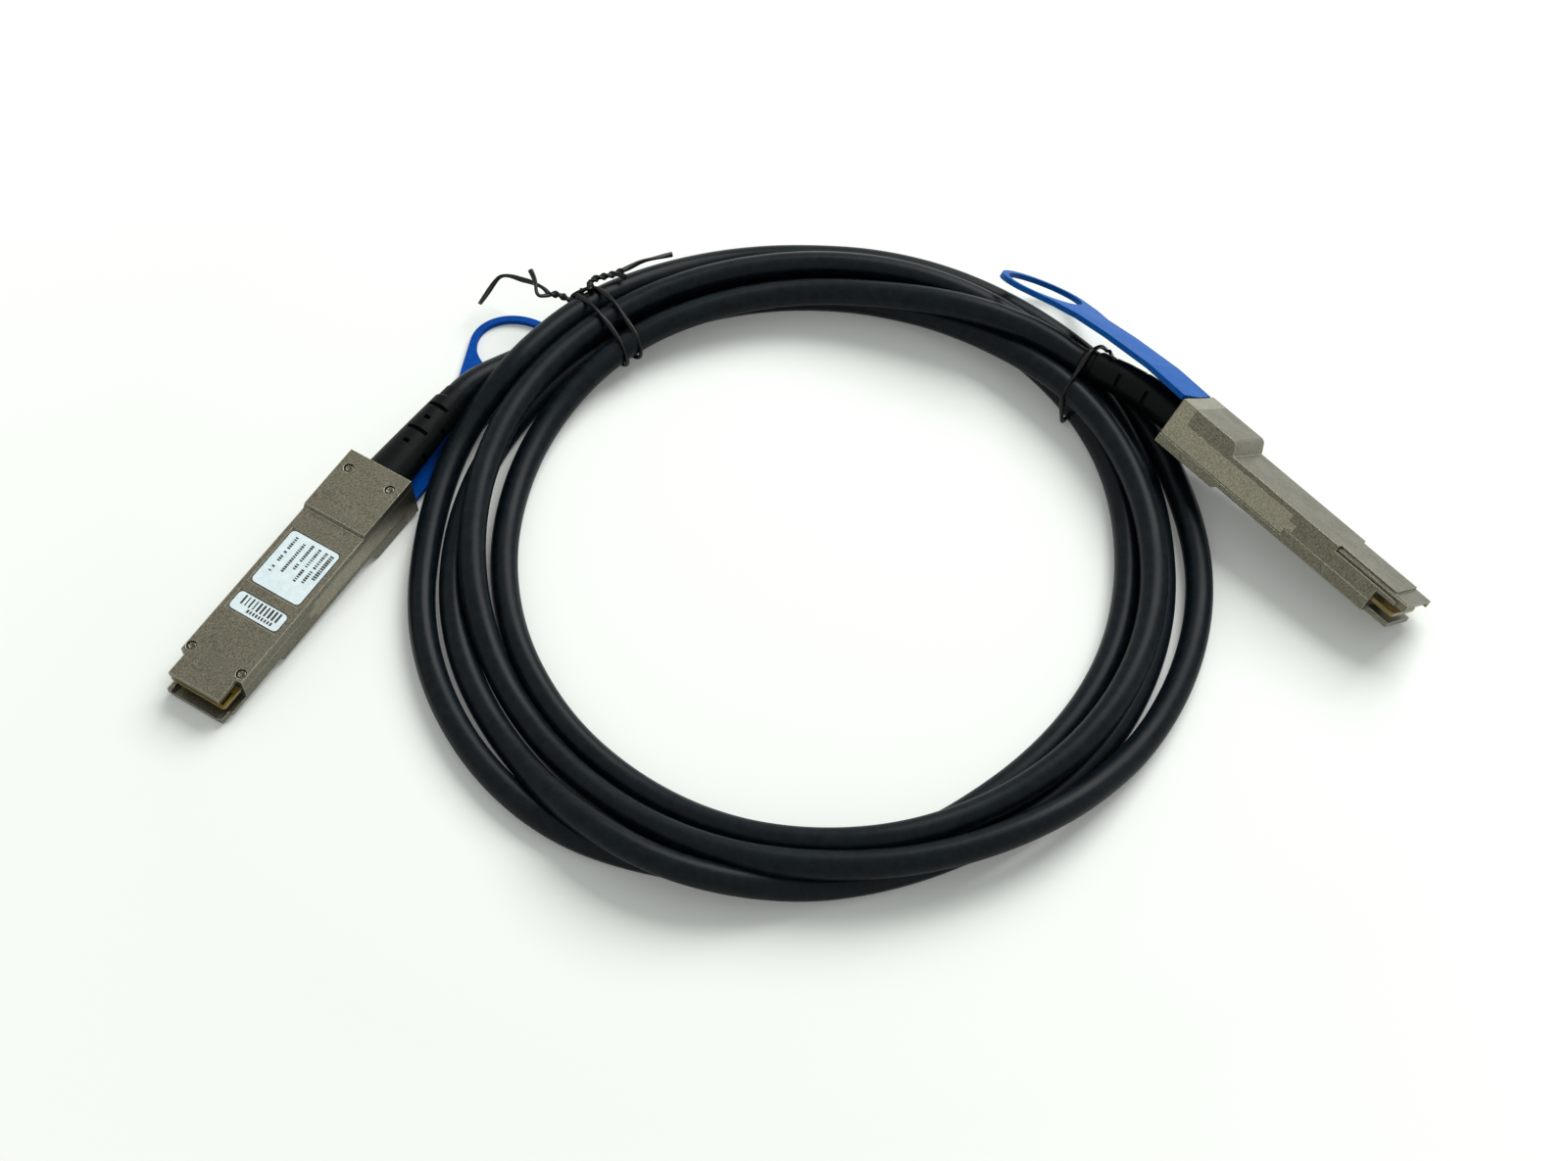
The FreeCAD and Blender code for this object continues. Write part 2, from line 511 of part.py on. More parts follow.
def pull_tab(tag, drop, swing):
    """Moulded tab: the flat outline cut from a bent strip, with a slot for the slider's tongue.

    drop lists the strip's bends as (distance behind the plug, height) in the plug's frame.
    """
    wall = size("tab_wall")
    upper = [VECTOR(-back, -60, height + wall / 2) for back, height in drop]
    lower = [VECTOR(-back, -60, height - wall / 2) for back, height in reversed(drop)]
    strip = Part.Face(Part.makePolygon(upper + lower + upper[:1])).extrude(VECTOR(0, 120, 0))
    outline = tab_outline()
    outline.translate(VECTOR(0, 0, -60))
    prism = outline.extrude(VECTOR(0, 0, 120))
    tab = strip.common(prism)
    tab.rotate(VECTOR(0, 0, 0), VECTOR(0, 0, 1), -swing)
    gap = size("slide_gap")
    behind = Part.makeBox(200, 200, 200, VECTOR(-200 - gap, -100, -100))
    length, width, thick = size("tongue_length"), size("tongue_width"), size("tongue_wall")
    corner = VECTOR(-length - gap, -width / 2 - gap, size("hump_top - sheet_wall") - gap)
    slot = Part.makeBox(length + 1, width + 2 * gap, thick + 2 * gap, corner)
    tab = tab.common(behind).cut(slot)
    piece = doc.addObject("Part::Feature", f"pull_tab_{tag}")
    piece.Label = f"pull_tab_{tag}"
    piece.Shape = tab.Solids[0]
    return piece


# --- strain relief, cable end, wires and paddle card -------------------------------------

def relief_station(tag, back):
    """Where the relief's middle line is at a distance behind the plug, and how it leans there."""
    length, sag = size("relief_length"), size(f"relief_sag_{tag}")
    lean = math.degrees(math.atan(2 * sag * back / length ** 2))
    height = size("axis_height") + sag * (back / length) ** 2
    return FreeCAD.Placement(VECTOR(-back, 0, height), FreeCAD.Rotation(VECTOR(0, 1, 0), lean))


def relief_width_at(back, root):
    """The collar's full width or depth at a distance behind the plug."""
    share = back / size("relief_length")
    return size(root) * (1 - share) + size("relief_end") * share


def relief_ring(tag, name, back, width, depth):
    """One oval section of the relief, square to its middle line."""
    ring = doc.addObject("Part::Ellipse", f"relief_{name}_{tag}")
    ring.MajorRadius, ring.MinorRadius = width / 2, depth / 2
    ring.Placement = relief_station(tag, back).multiply(FreeCAD.Placement(VECTOR(), ACROSS))
    return ring


def strain_relief(tag):
    """Moulded relief: a tapering oval collar with staggered flex slots, a neck and a flange."""
    length = size("relief_length")
    rings = [relief_ring(tag, "root", 0, size("relief_width"), size("relief_depth"))]
    for step in range(1, 5):
        back = length * step / 4
        rings.append(relief_ring(tag, f"collar_{step}", back, relief_width_at(back, "relief_width"),
                                 relief_width_at(back, "relief_depth")))
    for name, back, width in (("shoulder", length + 0.6, size("neck_end") + 0.4),
                              ("neck", length + size("neck_length"), size("neck_end"))):
        rings.append(relief_ring(tag, name, back, width, width))
    solids = []
    for index, pair in enumerate(zip(rings, rings[1:])):
        loft = doc.addObject("Part::Loft", f"relief_loft_{index}_{tag}")
        loft.Sections = list(pair)
        loft.Solid = True
        loft.Ruled = True
        solids.append(loft)
    solids.append(cylinder_along(f"relief_stub_{tag}", "0", "relief_stub", "cable_bore - 2 * seat_gap"))
    solids.append(cylinder_along(f"relief_flange_{tag}", "flange_start", "flange_end - flange_start",
                                 "flange_bore - 2 * seat_gap"))
    solid = combine("Part::MultiFuse", f"relief_solid_{tag}", solids)
    piece = combine("Part::Cut", f"strain_relief_{tag}", (solid, flex_slots(tag)))
    piece.Label = f"strain_relief_{tag}"
    return piece


def flex_slots(tag):
    """Cutters for the staggered slots: at the sides and mid-face, then across the faces."""
    cutters = []
    width, depth, reach = size("slot_width"), size("slot_depth"), size("relief_width")
    for step in range(2):
        side = size("slot_first") + step * size("slot_pitch")
        cross = side + size("slot_stagger")
        for sign in (1, -1):
            for back, root, half in ((side, "relief_width", size("flank_slot") / 2),
                                     (side, "relief_depth", size("face_notch") / 2),
                                     (cross, "relief_depth", size("cross_slot") / 2)):
                inner = relief_width_at(back, root) / 2 - depth
                start = inner if sign > 0 else -reach
                along = (start, -half) if root == "relief_width" else (-half, start)
                spans = (reach - inner, 2 * half) if root == "relief_width" else (2 * half, reach - inner)
                cutter = doc.addObject("Part::Box", f"flex_slot_{len(cutters)}_{tag}")
                cutter.Length, cutter.Width, cutter.Height = width, *spans
                corner = FreeCAD.Placement(VECTOR(-width / 2, *along), FreeCAD.Rotation())
                cutter.Placement = relief_station(tag, back).multiply(corner)
                cutters.append(cutter)
    return combine("Part::MultiFuse", f"flex_slots_{tag}", cutters)


def cylinder_along(name, start, length, width, height="axis_height"):
    """A cylinder that lies along the plug, its place and sizes given by formulas."""
    item = primitive("Part::Cylinder", name, Radius=f"({width}) / 2", Height=length)
    item.Placement = FreeCAD.Placement(VECTOR(size(start), 0, size(height)), ALONG)
    return item


def cable_core(tag):
    """The cable's stripped end inside the shells."""
    piece = cylinder_along(f"cable_core_{tag}", "relief_stub", "core_end - relief_stub", "core_width")
    piece.Label = f"cable_core_{tag}"
    return piece


def crimp_ferrule(tag):
    """The metal ring that clamps the braid on the cable's end."""
    bore = "core_width + 2 * ferrule_gap"
    outside = cylinder_along(f"ferrule_outside_{tag}", "ferrule_start", "ferrule_end - ferrule_start",
                             f"{bore} + 2 * ferrule_wall")
    inside = cylinder_along(f"ferrule_inside_{tag}", "ferrule_start - 1",
                            "ferrule_end - ferrule_start + 2", bore)
    piece = combine("Part::Cut", f"crimp_ferrule_{tag}", (outside, inside))
    piece.Label = f"crimp_ferrule_{tag}"
    return piece


def wire_pairs(tag):
    """Eight shielded pairs that fan out from the cable's end to the comb on the card."""
    wires = []
    for index in range(8):
        column, layer = index % 4 - 1.5, index // 4 - 0.5
        start = VECTOR(size("core_end + seat_gap"), column * size("wire_bundle"),
                       size("axis_height") + layer * size("wire_bundle"))
        spread = (index % 4 * 2 + index // 4) - 3.5
        end = VECTOR(size("comb_start"), spread * size("wire_pitch"), size("axis_height") - 0.6)
        run = end - start
        wire = primitive("Part::Cylinder", f"wire_{index}_{tag}", Radius="wire_width / 2")
        wire.Height = run.Length
        wire.Placement = FreeCAD.Placement(start, FreeCAD.Rotation(VECTOR(0, 0, 1), run))
        wires.append(wire)
    group = combine("Part::Compound", f"wire_pairs_{tag}", wires)
    group.Label = f"wire_pairs_{tag}"
    return group


def wire_comb(tag):
    """Moulded comb that holds the pairs in line at the card's rear edge."""
    body = new_body(f"wire_comb_{tag}")
    outline = box("comb_start + 0.25", "card_start", "-comb_width / 2", "comb_width / 2")
    pad(body, draw(body, "CombOutline", "XY_Plane", "floor_wall", [outline]),
        "shell_height - roof_wall - floor_wall - 0.3")
    return body


def paddle_card(tag):
    """Circuit card whose wide front edge is the plug's contact tongue."""
    body = new_body(f"paddle_card_{tag}")
    outline = (("card_start", "-card_neck / 2"), ("card_shoulder", "-card_neck / 2"),
               ("card_shoulder", "-card_width / 2"), ("card_front - 0.6", "-card_width / 2"),
               ("card_front", "-card_width / 2 + 0.6"), ("card_front", "card_width / 2 - 0.6"),
               ("card_front - 0.6", "card_width / 2"), ("card_shoulder", "card_width / 2"),
               ("card_shoulder", "card_neck / 2"), ("card_start", "card_neck / 2"))
    pad(body, draw(body, "CardOutline", "XY_Plane", "seam_height", [outline]), "card_wall")
    notches = [("screw_front", f"{sign}screw_front_pitch / 2", "shank_width + 1.4") for sign in ("", "-")]
    pocket(body, draw(body, "ScrewNotches", "XY_Plane", "seam_height", circles=notches), "card_wall",
           back=True)
    return body


def card_chips(tag):
    """The memory chip and its capacitors on the card."""
    chips = []
    for index, (place, across, long, wide, tall) in enumerate(
            ((44.0, -2.0, 4.0, 4.0, 0.9), (50.5, -3.6, 1.6, 0.8, 0.8), (50.5, -0.4, 1.6, 0.8, 0.8),
             (50.5, 2.8, 1.6, 0.8, 0.8))):
        chip = doc.addObject("Part::Box", f"chip_{index}_{tag}")
        chip.Length, chip.Width, chip.Height = long, wide, tall
        chip.Placement = FreeCAD.Placement(VECTOR(place, across, size("seam_height + card_wall")),
                                           FreeCAD.Rotation())
        chips.append(chip)
    group = combine("Part::Compound", f"card_chips_{tag}", chips)
    group.Label = f"card_chips_{tag}"
    return group


# --- fasteners and labels ----------------------------------------------------------------

def shell_screws(tag):
    """Four cross-recessed screws that hold the shells together from the label face."""
    screws = []
    for place, pitch, level in (("screw_rear", "screw_rear_pitch", "-pad_depth"),
                                ("screw_front", "screw_front_pitch", "0")):
        for sign in (1, -1):
            mark = f"{place}_{'left' if sign > 0 else 'right'}_{tag}"
            spot = VECTOR(size(place), sign * size(pitch) / 2, size(level) + size("head_gap"))
            head = primitive("Part::Cylinder", f"head_{mark}", Radius="head_width / 2",
                             Height="head_height")
            head.Placement = FreeCAD.Placement(spot, FreeCAD.Rotation())
            shank = primitive("Part::Cylinder", f"shank_{mark}", Radius="shank_width / 2 - seat_gap",
                              Height="shank_length")
            shank.Placement = FreeCAD.Placement(spot + VECTOR(0, 0, size("head_height") - 0.1),
                                                FreeCAD.Rotation())
            bars = []
            for turn in (45, 135):
                bar = doc.addObject("Part::Box", f"recess_{turn}_{mark}")
                bar.Length, bar.Width, bar.Height = size("head_width * 0.62"), 0.34, 0.8
                rotation = FreeCAD.Rotation(VECTOR(0, 0, 1), turn)
                middle = rotation.multVec(VECTOR(bar.Length.Value / 2, 0.17, 0))
                bar.Placement = FreeCAD.Placement(spot - middle - VECTOR(0, 0, 0.4), rotation)
                bars.append(bar)
            blank = combine("Part::MultiFuse", f"blank_{mark}", (head, shank))
            cross = combine("Part::MultiFuse", f"cross_{mark}", bars)
            screws.append(combine("Part::Cut", f"screw_{mark}", (blank, cross)))
    group = combine("Part::Compound", f"shell_screws_{tag}", screws)
    group.Label = f"shell_screws_{tag}"
    return group


def face_label(tag, name):
    """A printed label in its recess on the label face, with round corners."""
    body = new_body(f"{name}_label_{tag}")
    outline = box(f"{name}_label_start", f"{name}_label_end", "-label_width / 2", "label_width / 2")
    pad(body, draw(body, "LabelOutline", "XY_Plane", "label_depth", [outline]), "label_wall", back=True)
    round_edges(body, "label_round", lambda edge, middle: abs(edge.tangentAt(edge.FirstParameter).z) > 0.9)
    return body


# --- the cable: leads, coil and twist ties -------------------------------------------------

def route_wire(points):
    """Joins straight runs by tangent arcs; returns the path, its length and the arcs' radii."""
    edges, radii = [], []
    start = points[0]
    for before, corner, after in zip(points, points[1:], points[2:]):
        run_in, run_out = corner - before, after - corner
        shorter = min(run_in.Length, run_out.Length)
        run_in.normalize()
        run_out.normalize()
        turn = run_in.getAngle(run_out)
        cut = 0.45 * shorter
        radius = cut / math.tan(turn / 2)
        first, last = corner - run_in * cut, corner + run_out * cut
        middle_line = run_out - run_in
        middle_line.normalize()
        centre = corner + middle_line * (radius / math.cos(turn / 2))
        middle = centre - middle_line * radius
        edges.append(Part.LineSegment(start, first).toShape())
        edges.append(Part.Arc(first, middle, last).toShape())
        radii.append(radius)
        start = last
    edges.append(Part.LineSegment(start, points[-1]).toShape())
    return Part.Wire(edges), sum(edge.Length for edge in edges), radii


def cable_lead(name, points):
    """A tube of the cable along its route, with its radii and volume reported."""
    path, length, radii = route_wire(points)
    radius = size("cable_width / 2")
    heading = points[1] - points[0]
    ring = Part.Wire(Part.Circle(points[0], heading, radius).toShape())
    tube = path.makePipeShell([ring], True, True)
    expected = math.pi * radius ** 2 * length
    print(f"{name}: length {length:.1f}, radii {[round(value, 1) for value in radii]}, "
          f"volume {tube.Volume:.0f} of {expected:.0f}")
    piece = doc.addObject("Part::Feature", name)
    piece.Label = name
    piece.Shape = tube
    return piece


def cable_coil():
    """One closed ring with the outer shape of the wound coil, open over the first pull tab."""
    body = new_body("cable_coil")
    inner, outer = "coil_inner / 2", "coil_outer / 2"
    section = ((f"{inner} + coil_bevel", "0"), (f"{outer} - coil_bevel", "0"),
               (outer, "coil_bevel"), (outer, "coil_shoulder - coil_bevel"),
               (f"{outer} - coil_bevel", "coil_shoulder"), ("coil_crown / 2", "coil_height"),
               (f"{inner} + coil_bevel", "coil_height"), (inner, "coil_height - coil_bevel"),
               (inner, "coil_bevel"))
    sketch = draw(body, "CoilSection", "XZ_Plane", "0", [section])
    turn = body.newObject("PartDesign::Revolution", "Turns")
    turn.Profile = sketch
    turn.ReferenceAxis = (next(item for item in body.Origin.OriginFeatures if item.Role == "Z_Axis"), [""])
    turn.Angle = 360
    doc.recompute()
    place = plug_place("a")
    corners = [place.multVec(VECTOR(-size(back), size(across), 0)) - coil_centre()
               for back, across in box("strap_clear_start", "loop_centre", "-strap_clear / 2",
                                       "strap_clear / 2")]
    strap = [(str(round(corner.x, 4)), str(round(corner.y, 4))) for corner in corners]
    pocket(body, draw(body, "StrapClearance", "XY_Plane", "0", [strap]), "tab_clear", back=True)
    middle = place.multVec(VECTOR(-size("loop_centre"), 0, 0)) - coil_centre()
    loop = (str(round(middle.x, 4)), str(round(middle.y, 4)), "loop_clear")
    pocket(body, draw(body, "LoopClearance", "XY_Plane", "0", circles=[loop]), "tab_clear", back=True)
    return body


def twist_tie(name, angle, shifts, inner, outer, tall):
    """Plain loops of wire tie round the cable's turns at one place."""
    frames = []
    wall = size("tie_wall")
    for index, shift in enumerate(shifts):
        outside = doc.addObject("Part::Box", f"{name}_outside_{index}")
        outside.Length, outside.Width, outside.Height = outer - inner + 2 * wall, wall, tall + wall
        inside = doc.addObject("Part::Box", f"{name}_inside_{index}")
        inside.Length, inside.Width, inside.Height = outer - inner, wall + 2, tall - wall
        turn = FreeCAD.Rotation(VECTOR(0, 0, 1), angle)
        corner = turn.multVec(VECTOR(inner - wall, shift - wall / 2, 0))
        outside.Placement = FreeCAD.Placement(corner, turn)
        corner = turn.multVec(VECTOR(inner, shift - wall / 2 - 1, wall))
        inside.Placement = FreeCAD.Placement(corner, turn)
        frames.append(combine("Part::Cut", f"{name}_wrap_{index}", (outside, inside)))
    group = combine("Part::Compound", name, frames)
    group.Label = name
    return group


# --- placing and writing -------------------------------------------------------------------

def coil_centre():
    """The coil's centre on the floor."""
    return VECTOR(size("coil_x"), size("coil_y"), 0)


def plug_place(tag):
    """Where a plug lies: heading, nose-down angle and roll, then its place beside the coil."""
    turn = FreeCAD.Rotation(size(f"plug_{tag}_heading"), size(f"plug_{tag}_dip"), size(f"plug_{tag}_roll"))
    spot = VECTOR(size(f"plug_{tag}_x"), size(f"plug_{tag}_y"), size(f"plug_{tag}_z"))
    return FreeCAD.Placement(coil_centre() + spot, turn)


def lead_points(tag, points):
    """A lead's route: straight out of the relief, then points chosen by hand round the coil."""
    tail = plug_place(tag).multiply(relief_station(tag, size("relief_length + neck_length")))
    out = [tail.Base, tail.multVec(VECTOR(-size(f"lead_{tag}_straight"), 0, 0))]
    return out + [coil_centre() + VECTOR(*point) for point in points]


LEAD_A = ((-75.0, 62.9, 7.2), (-65.4, 70.7, 5.2))
LEAD_B = ((54.4, 62.9, 9.0), (45.2, 68.6, 6.2))
TAB_DROPS = {"a": ((-1, 11.2), (7, 11.3), (26, 13.3), (80, 16.27)),
             "b": ((-1, 11.2), (13, 10.9), (28, 9.3), (44, 6.8), (80, -0.9))}


def build():
    """Builds every sub-part and returns them in order."""
    parts = []
    for tag in ("a", "b"):
        swing = size("tab_b_swing") if tag == "b" else 0.0
        pieces = [bottom_shell(tag), top_shell(tag), latch_slider(tag), return_springs(tag),
                  pull_tab(tag, TAB_DROPS[tag], swing), strain_relief(tag), cable_core(tag),
                  crimp_ferrule(tag), wire_pairs(tag), wire_comb(tag), paddle_card(tag),
                  card_chips(tag), shell_screws(tag)]
        if tag == "a":
            pieces += [face_label(tag, "large"), face_label(tag, "small")]
        doc.recompute()
        for piece in pieces:
            piece.Placement = plug_place(tag).multiply(piece.Placement)
        parts += pieces
    coil = cable_coil()
    coil.Placement = FreeCAD.Placement(coil_centre(), FreeCAD.Rotation())
    pitch = size("tie_main_pitch")
    ties = [twist_tie("tie_main", size("tie_main_angle"), (-pitch / 2, pitch / 2),
                      size("coil_inner / 2"), size("coil_outer / 2"), size("coil_height")),
            twist_tie("tie_small", size("tie_small_angle"), (0.0,), size("tie_small_inner / 2"),
                      size("tie_small_outer / 2"), size("tie_small_height"))]
    for tie in ties:
        tie.Placement = FreeCAD.Placement(coil_centre(), FreeCAD.Rotation())
    parts += [coil, cable_lead("cable_lead_a", lead_points("a", LEAD_A)),
              cable_lead("cable_lead_b", lead_points("b", LEAD_B))] + ties
    doc.recompute()
    return parts


def check(parts):
    """Stops if any object failed or any sub-part has no sound solid."""
    for item in doc.Objects:
        if {"Invalid", "Error"} & set(item.State):
            raise RuntimeError(f"{item.Label} is {item.State}")
    for part in parts:
        if part.Shape.isNull() or not part.Shape.isValid() or not part.Shape.Solids:
            raise RuntimeError(f"{part.Label} has no sound solid")


def write(parts):
    """Writes each sub-part to its own STEP file."""
    os.makedirs("parts", exist_ok=True)
    for part in parts:
        part.Shape.exportStep(f"parts/{part.Label}.step")
        bounds = part.Shape.BoundBox
        print(f"{part.Label}: {len(part.Shape.Solids)} solids, volume {part.Shape.Volume:.1f}, "
              f"z {bounds.ZMin:.2f} to {bounds.ZMax:.2f}")


PARTS = build()
check(PARTS)
write(PARTS)
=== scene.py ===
"""Looks of a direct attach copper cable: two pluggable ends joined by one coiled twin-axial cord."""

from __future__ import annotations

import logging
import math
from dataclasses import dataclass
from enum import Enum

import bmesh
import bpy
from mathutils import Euler, Matrix, Vector

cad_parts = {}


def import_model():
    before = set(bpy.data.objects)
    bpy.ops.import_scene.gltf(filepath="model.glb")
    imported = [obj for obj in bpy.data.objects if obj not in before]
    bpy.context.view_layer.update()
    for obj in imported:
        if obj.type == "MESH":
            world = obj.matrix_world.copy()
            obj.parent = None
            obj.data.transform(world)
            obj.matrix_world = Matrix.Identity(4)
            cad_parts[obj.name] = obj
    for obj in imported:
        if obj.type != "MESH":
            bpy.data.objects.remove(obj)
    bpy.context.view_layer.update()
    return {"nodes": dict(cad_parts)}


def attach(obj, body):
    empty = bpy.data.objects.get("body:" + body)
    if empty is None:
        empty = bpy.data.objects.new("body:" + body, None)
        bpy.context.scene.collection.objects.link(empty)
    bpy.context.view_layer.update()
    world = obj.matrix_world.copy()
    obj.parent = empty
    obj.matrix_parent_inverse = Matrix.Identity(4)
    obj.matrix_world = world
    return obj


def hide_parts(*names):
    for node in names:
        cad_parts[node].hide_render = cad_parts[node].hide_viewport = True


LOG = logging.getLogger("direct_attach_cable")
MM = 0.001
# Socket types of the Geometry Nodes inputs.
FLOAT, WHOLE, OBJECT = "NodeSocketFloat", "NodeSocketInt", "NodeSocketObject"
# The middle of the coil in the model's frame, in millimetres.
COIL_CENTRE = (1.83, -20.39)

Point = tuple[float, float, float]


class End(Enum):
    """The two pluggable ends, with the letter that ends their nodes' names."""

    LABEL_UP = "a"
    HEAT_SINK_UP = "b"


# --- small tools for nodes and meshes ----------------------------------------------------------


def linear(hex_colour: str) -> tuple[float, float, float, float]:
    """Turns an sRGB hex colour into linear values.

    Args:
        hex_colour: the colour, as six hex digits.

    Returns:
        Red, green, blue and an alpha of one.
    """
    values = []
    for start in (0, 2, 4):
        channel = int(hex_colour[start:start + 2], 16) / 255
        values.append(channel / 12.92 if channel <= 0.04045 else ((channel + 0.055) / 1.055) ** 2.4)
    return values[0], values[1], values[2], 1.0


def per_metre(millimetres: float) -> float:
    """The scale of a pattern on Object coordinates whose repeats are that far apart."""
    return 1.0 / (millimetres * MM)


def add(tree: bpy.types.NodeTree, kind: str, inputs: dict | None = None,
        **settings: object) -> bpy.types.Node:
    """Adds one node, sets it and links it.

    Args:
        tree: the node tree that the node goes into.
        kind: the node's type.
        inputs: socket name or number to a value, or to the output socket that feeds it.
        settings: properties of the node itself.

    Returns:
        The new node.
    """
    node = tree.nodes.new(kind)
    for name, value in settings.items():
        setattr(node, name, value)
    for key, value in (inputs or {}).items():
        if isinstance(value, bpy.types.NodeSocket):
            tree.links.new(value, node.inputs[key])
        else:
            node.inputs[key].default_value = value
    return node


def mapped(tree: bpy.types.NodeTree, value: bpy.types.NodeSocket, given: tuple[float, float],
           wanted: tuple[float, float] = (0.0, 1.0)) -> bpy.types.NodeSocket:
    """Maps a value from one range to another and keeps it inside the second.

    Args:
        tree: the node tree.
        value: the value to map.
        given: both ends of the range that the value comes in.
        wanted: what those ends become.

    Returns:
        The mapped value.
    """
    return add(tree, "ShaderNodeMapRange", {"Value": value, "From Min": given[0], "From Max": given[1],
                                            "To Min": wanted[0], "To Max": wanted[1]}).outputs[0]


def mixed(tree: bpy.types.NodeTree, share: bpy.types.NodeSocket, first: object,
          second: object) -> bpy.types.NodeSocket:
    """Mixes two colours, of which the second shows where the share is one."""
    # Sockets 0, 6 and 7 are the share and the two colours.
    return add(tree, "ShaderNodeMix", {0: share, 6: first, 7: second}, data_type="RGBA").outputs[2]


def ramp(tree: bpy.types.NodeTree, factor: bpy.types.NodeSocket,
         stops: tuple[tuple[float, str], ...]) -> bpy.types.NodeSocket:
    """Spreads hex colours along a factor.

    Args:
        tree: the node tree.
        factor: what the colours follow, from 0 to 1.
        stops: pairs of place and hex colour.

    Returns:
        The colour output.
    """
    node = add(tree, "ShaderNodeValToRGB", {"Fac": factor})
    elements = node.color_ramp.elements
    while len(elements) < len(stops):
        elements.new(0.5)
    for element, (place, colour) in zip(elements, stops):
        element.position = place
        element.color = linear(colour)
    return node.outputs["Color"]


def link_piece(name: str, data: bpy.types.Mesh | bpy.types.Curve) -> bpy.types.Object:
    """Puts finished data into the scene as an object at the origin.

    Args:
        name: the object's name.
        data: its mesh or curve.

    Returns:
        The object.
    """
    piece = bpy.data.objects.new(name, data)
    bpy.context.scene.collection.objects.link(piece)
    return piece


def grown(tree: bpy.types.NodeTree, values: dict[str, object],
          base: bpy.types.Mesh | bpy.types.Curve | None = None) -> bpy.types.Mesh:
    """Runs a Geometry Nodes tree once and keeps its result as a plain mesh.

    Args:
        tree: the tree, whose inputs are named.
        values: input name to value.
        base: the data that the tree starts from, or None where it needs none.

    Returns:
        The mesh that the tree makes.
    """
    carrier = link_piece("carrier", base or bpy.data.meshes.new("carrier"))
    modifier = carrier.modifiers.new("grow", "NODES")
    modifier.node_group = tree
    for item in tree.interface.items_tree:
        if item.item_type == "SOCKET" and item.in_out == "INPUT" and item.name in values:
            modifier[item.identifier] = values[item.name]
    carrier.update_tag()
    graph = bpy.context.evaluated_depsgraph_get()
    mesh = bpy.data.meshes.new_from_object(carrier.evaluated_get(graph))
    carrier.modifiers.remove(modifier)
    bpy.data.objects.remove(carrier)
    return mesh


def joined(name: str, parts: list[tuple[bpy.types.Mesh, Matrix]]) -> bpy.types.Mesh:
    """Moves meshes to their places and joins them.

    Args:
        name: the new mesh's name.
        parts: pairs of mesh and place.

    Returns:
        One mesh with every part's material.
    """
    whole = bmesh.new()
    mesh = bpy.data.meshes.new(name)
    for part, place in parts:
        moved = part.copy()
        moved.transform(place)
        for material in part.materials:
            if material and material.name not in mesh.materials:
                mesh.materials.append(material)
        # A part may bring an empty slot, which none of its faces uses.
        slots = [mesh.materials.find(material.name) if material else 0 for material in part.materials]
        before = len(whole.faces)
        whole.from_mesh(moved)
        whole.faces.ensure_lookup_table()
        for face in whole.faces[before:]:
            face.material_index = slots[face.material_index]
        bpy.data.meshes.remove(moved)
    whole.to_mesh(mesh)
    whole.free()
    return mesh


def geometry_tree(name: str, inputs: tuple[tuple[str, str, object], ...]) -> bpy.types.NodeTree:
    """Starts a Geometry Nodes tree with named inputs.

    Args:
        name: the tree's name.
        inputs: name, socket type and default value of each input.

    Returns:
        The tree, with its geometry sockets and its inputs.
    """
    tree = bpy.data.node_groups.new(name, "GeometryNodeTree")
    tree.interface.new_socket("Geometry", in_out="INPUT", socket_type="NodeSocketGeometry")
    for label, kind, value in inputs:
        socket = tree.interface.new_socket(label, in_out="INPUT", socket_type=kind)
        if value is not None:
            socket.default_value = value
    tree.interface.new_socket("Geometry", in_out="OUTPUT", socket_type="NodeSocketGeometry")
    return tree


def close_tree(tree: bpy.types.NodeTree, geometry: bpy.types.NodeSocket,
               material: bpy.types.Material) -> None:
    """Ends a tree in Realize Instances and Set Material.

    Args:
        tree: the Geometry Nodes tree.
        geometry: what the tree has made so far.
        material: what all of it is dressed in.
    """
    real = add(tree, "GeometryNodeRealizeInstances", {"Geometry": geometry})
    dressed = add(tree, "GeometryNodeSetMaterial", {"Geometry": real.outputs[0], "Material": material})
    add(tree, "NodeGroupOutput", {"Geometry": dressed.outputs[0]})


# --- finishes ----------------------------------------------------------------------------------


# Cosine between the softened and the true normal where the painted edge highlight and edge shade start to
# show, and where they show in full.
PAINTED_EDGE_BEND = (0.99, 0.8)
# How far around a point the painted seam shade looks for other surfaces, and how open the point is where that
# painted shade is full and where it ends.
SEAM_SHADE_REACH_MM = 0.45
SEAM_SHADE_OPEN = (0.7, 0.92)
# The slow change of a surface's roughness is that many grains wide, and follows this part of its noise.
DRIFT_GRAINS = 14
DRIFT_RANGE = (0.3, 0.7)


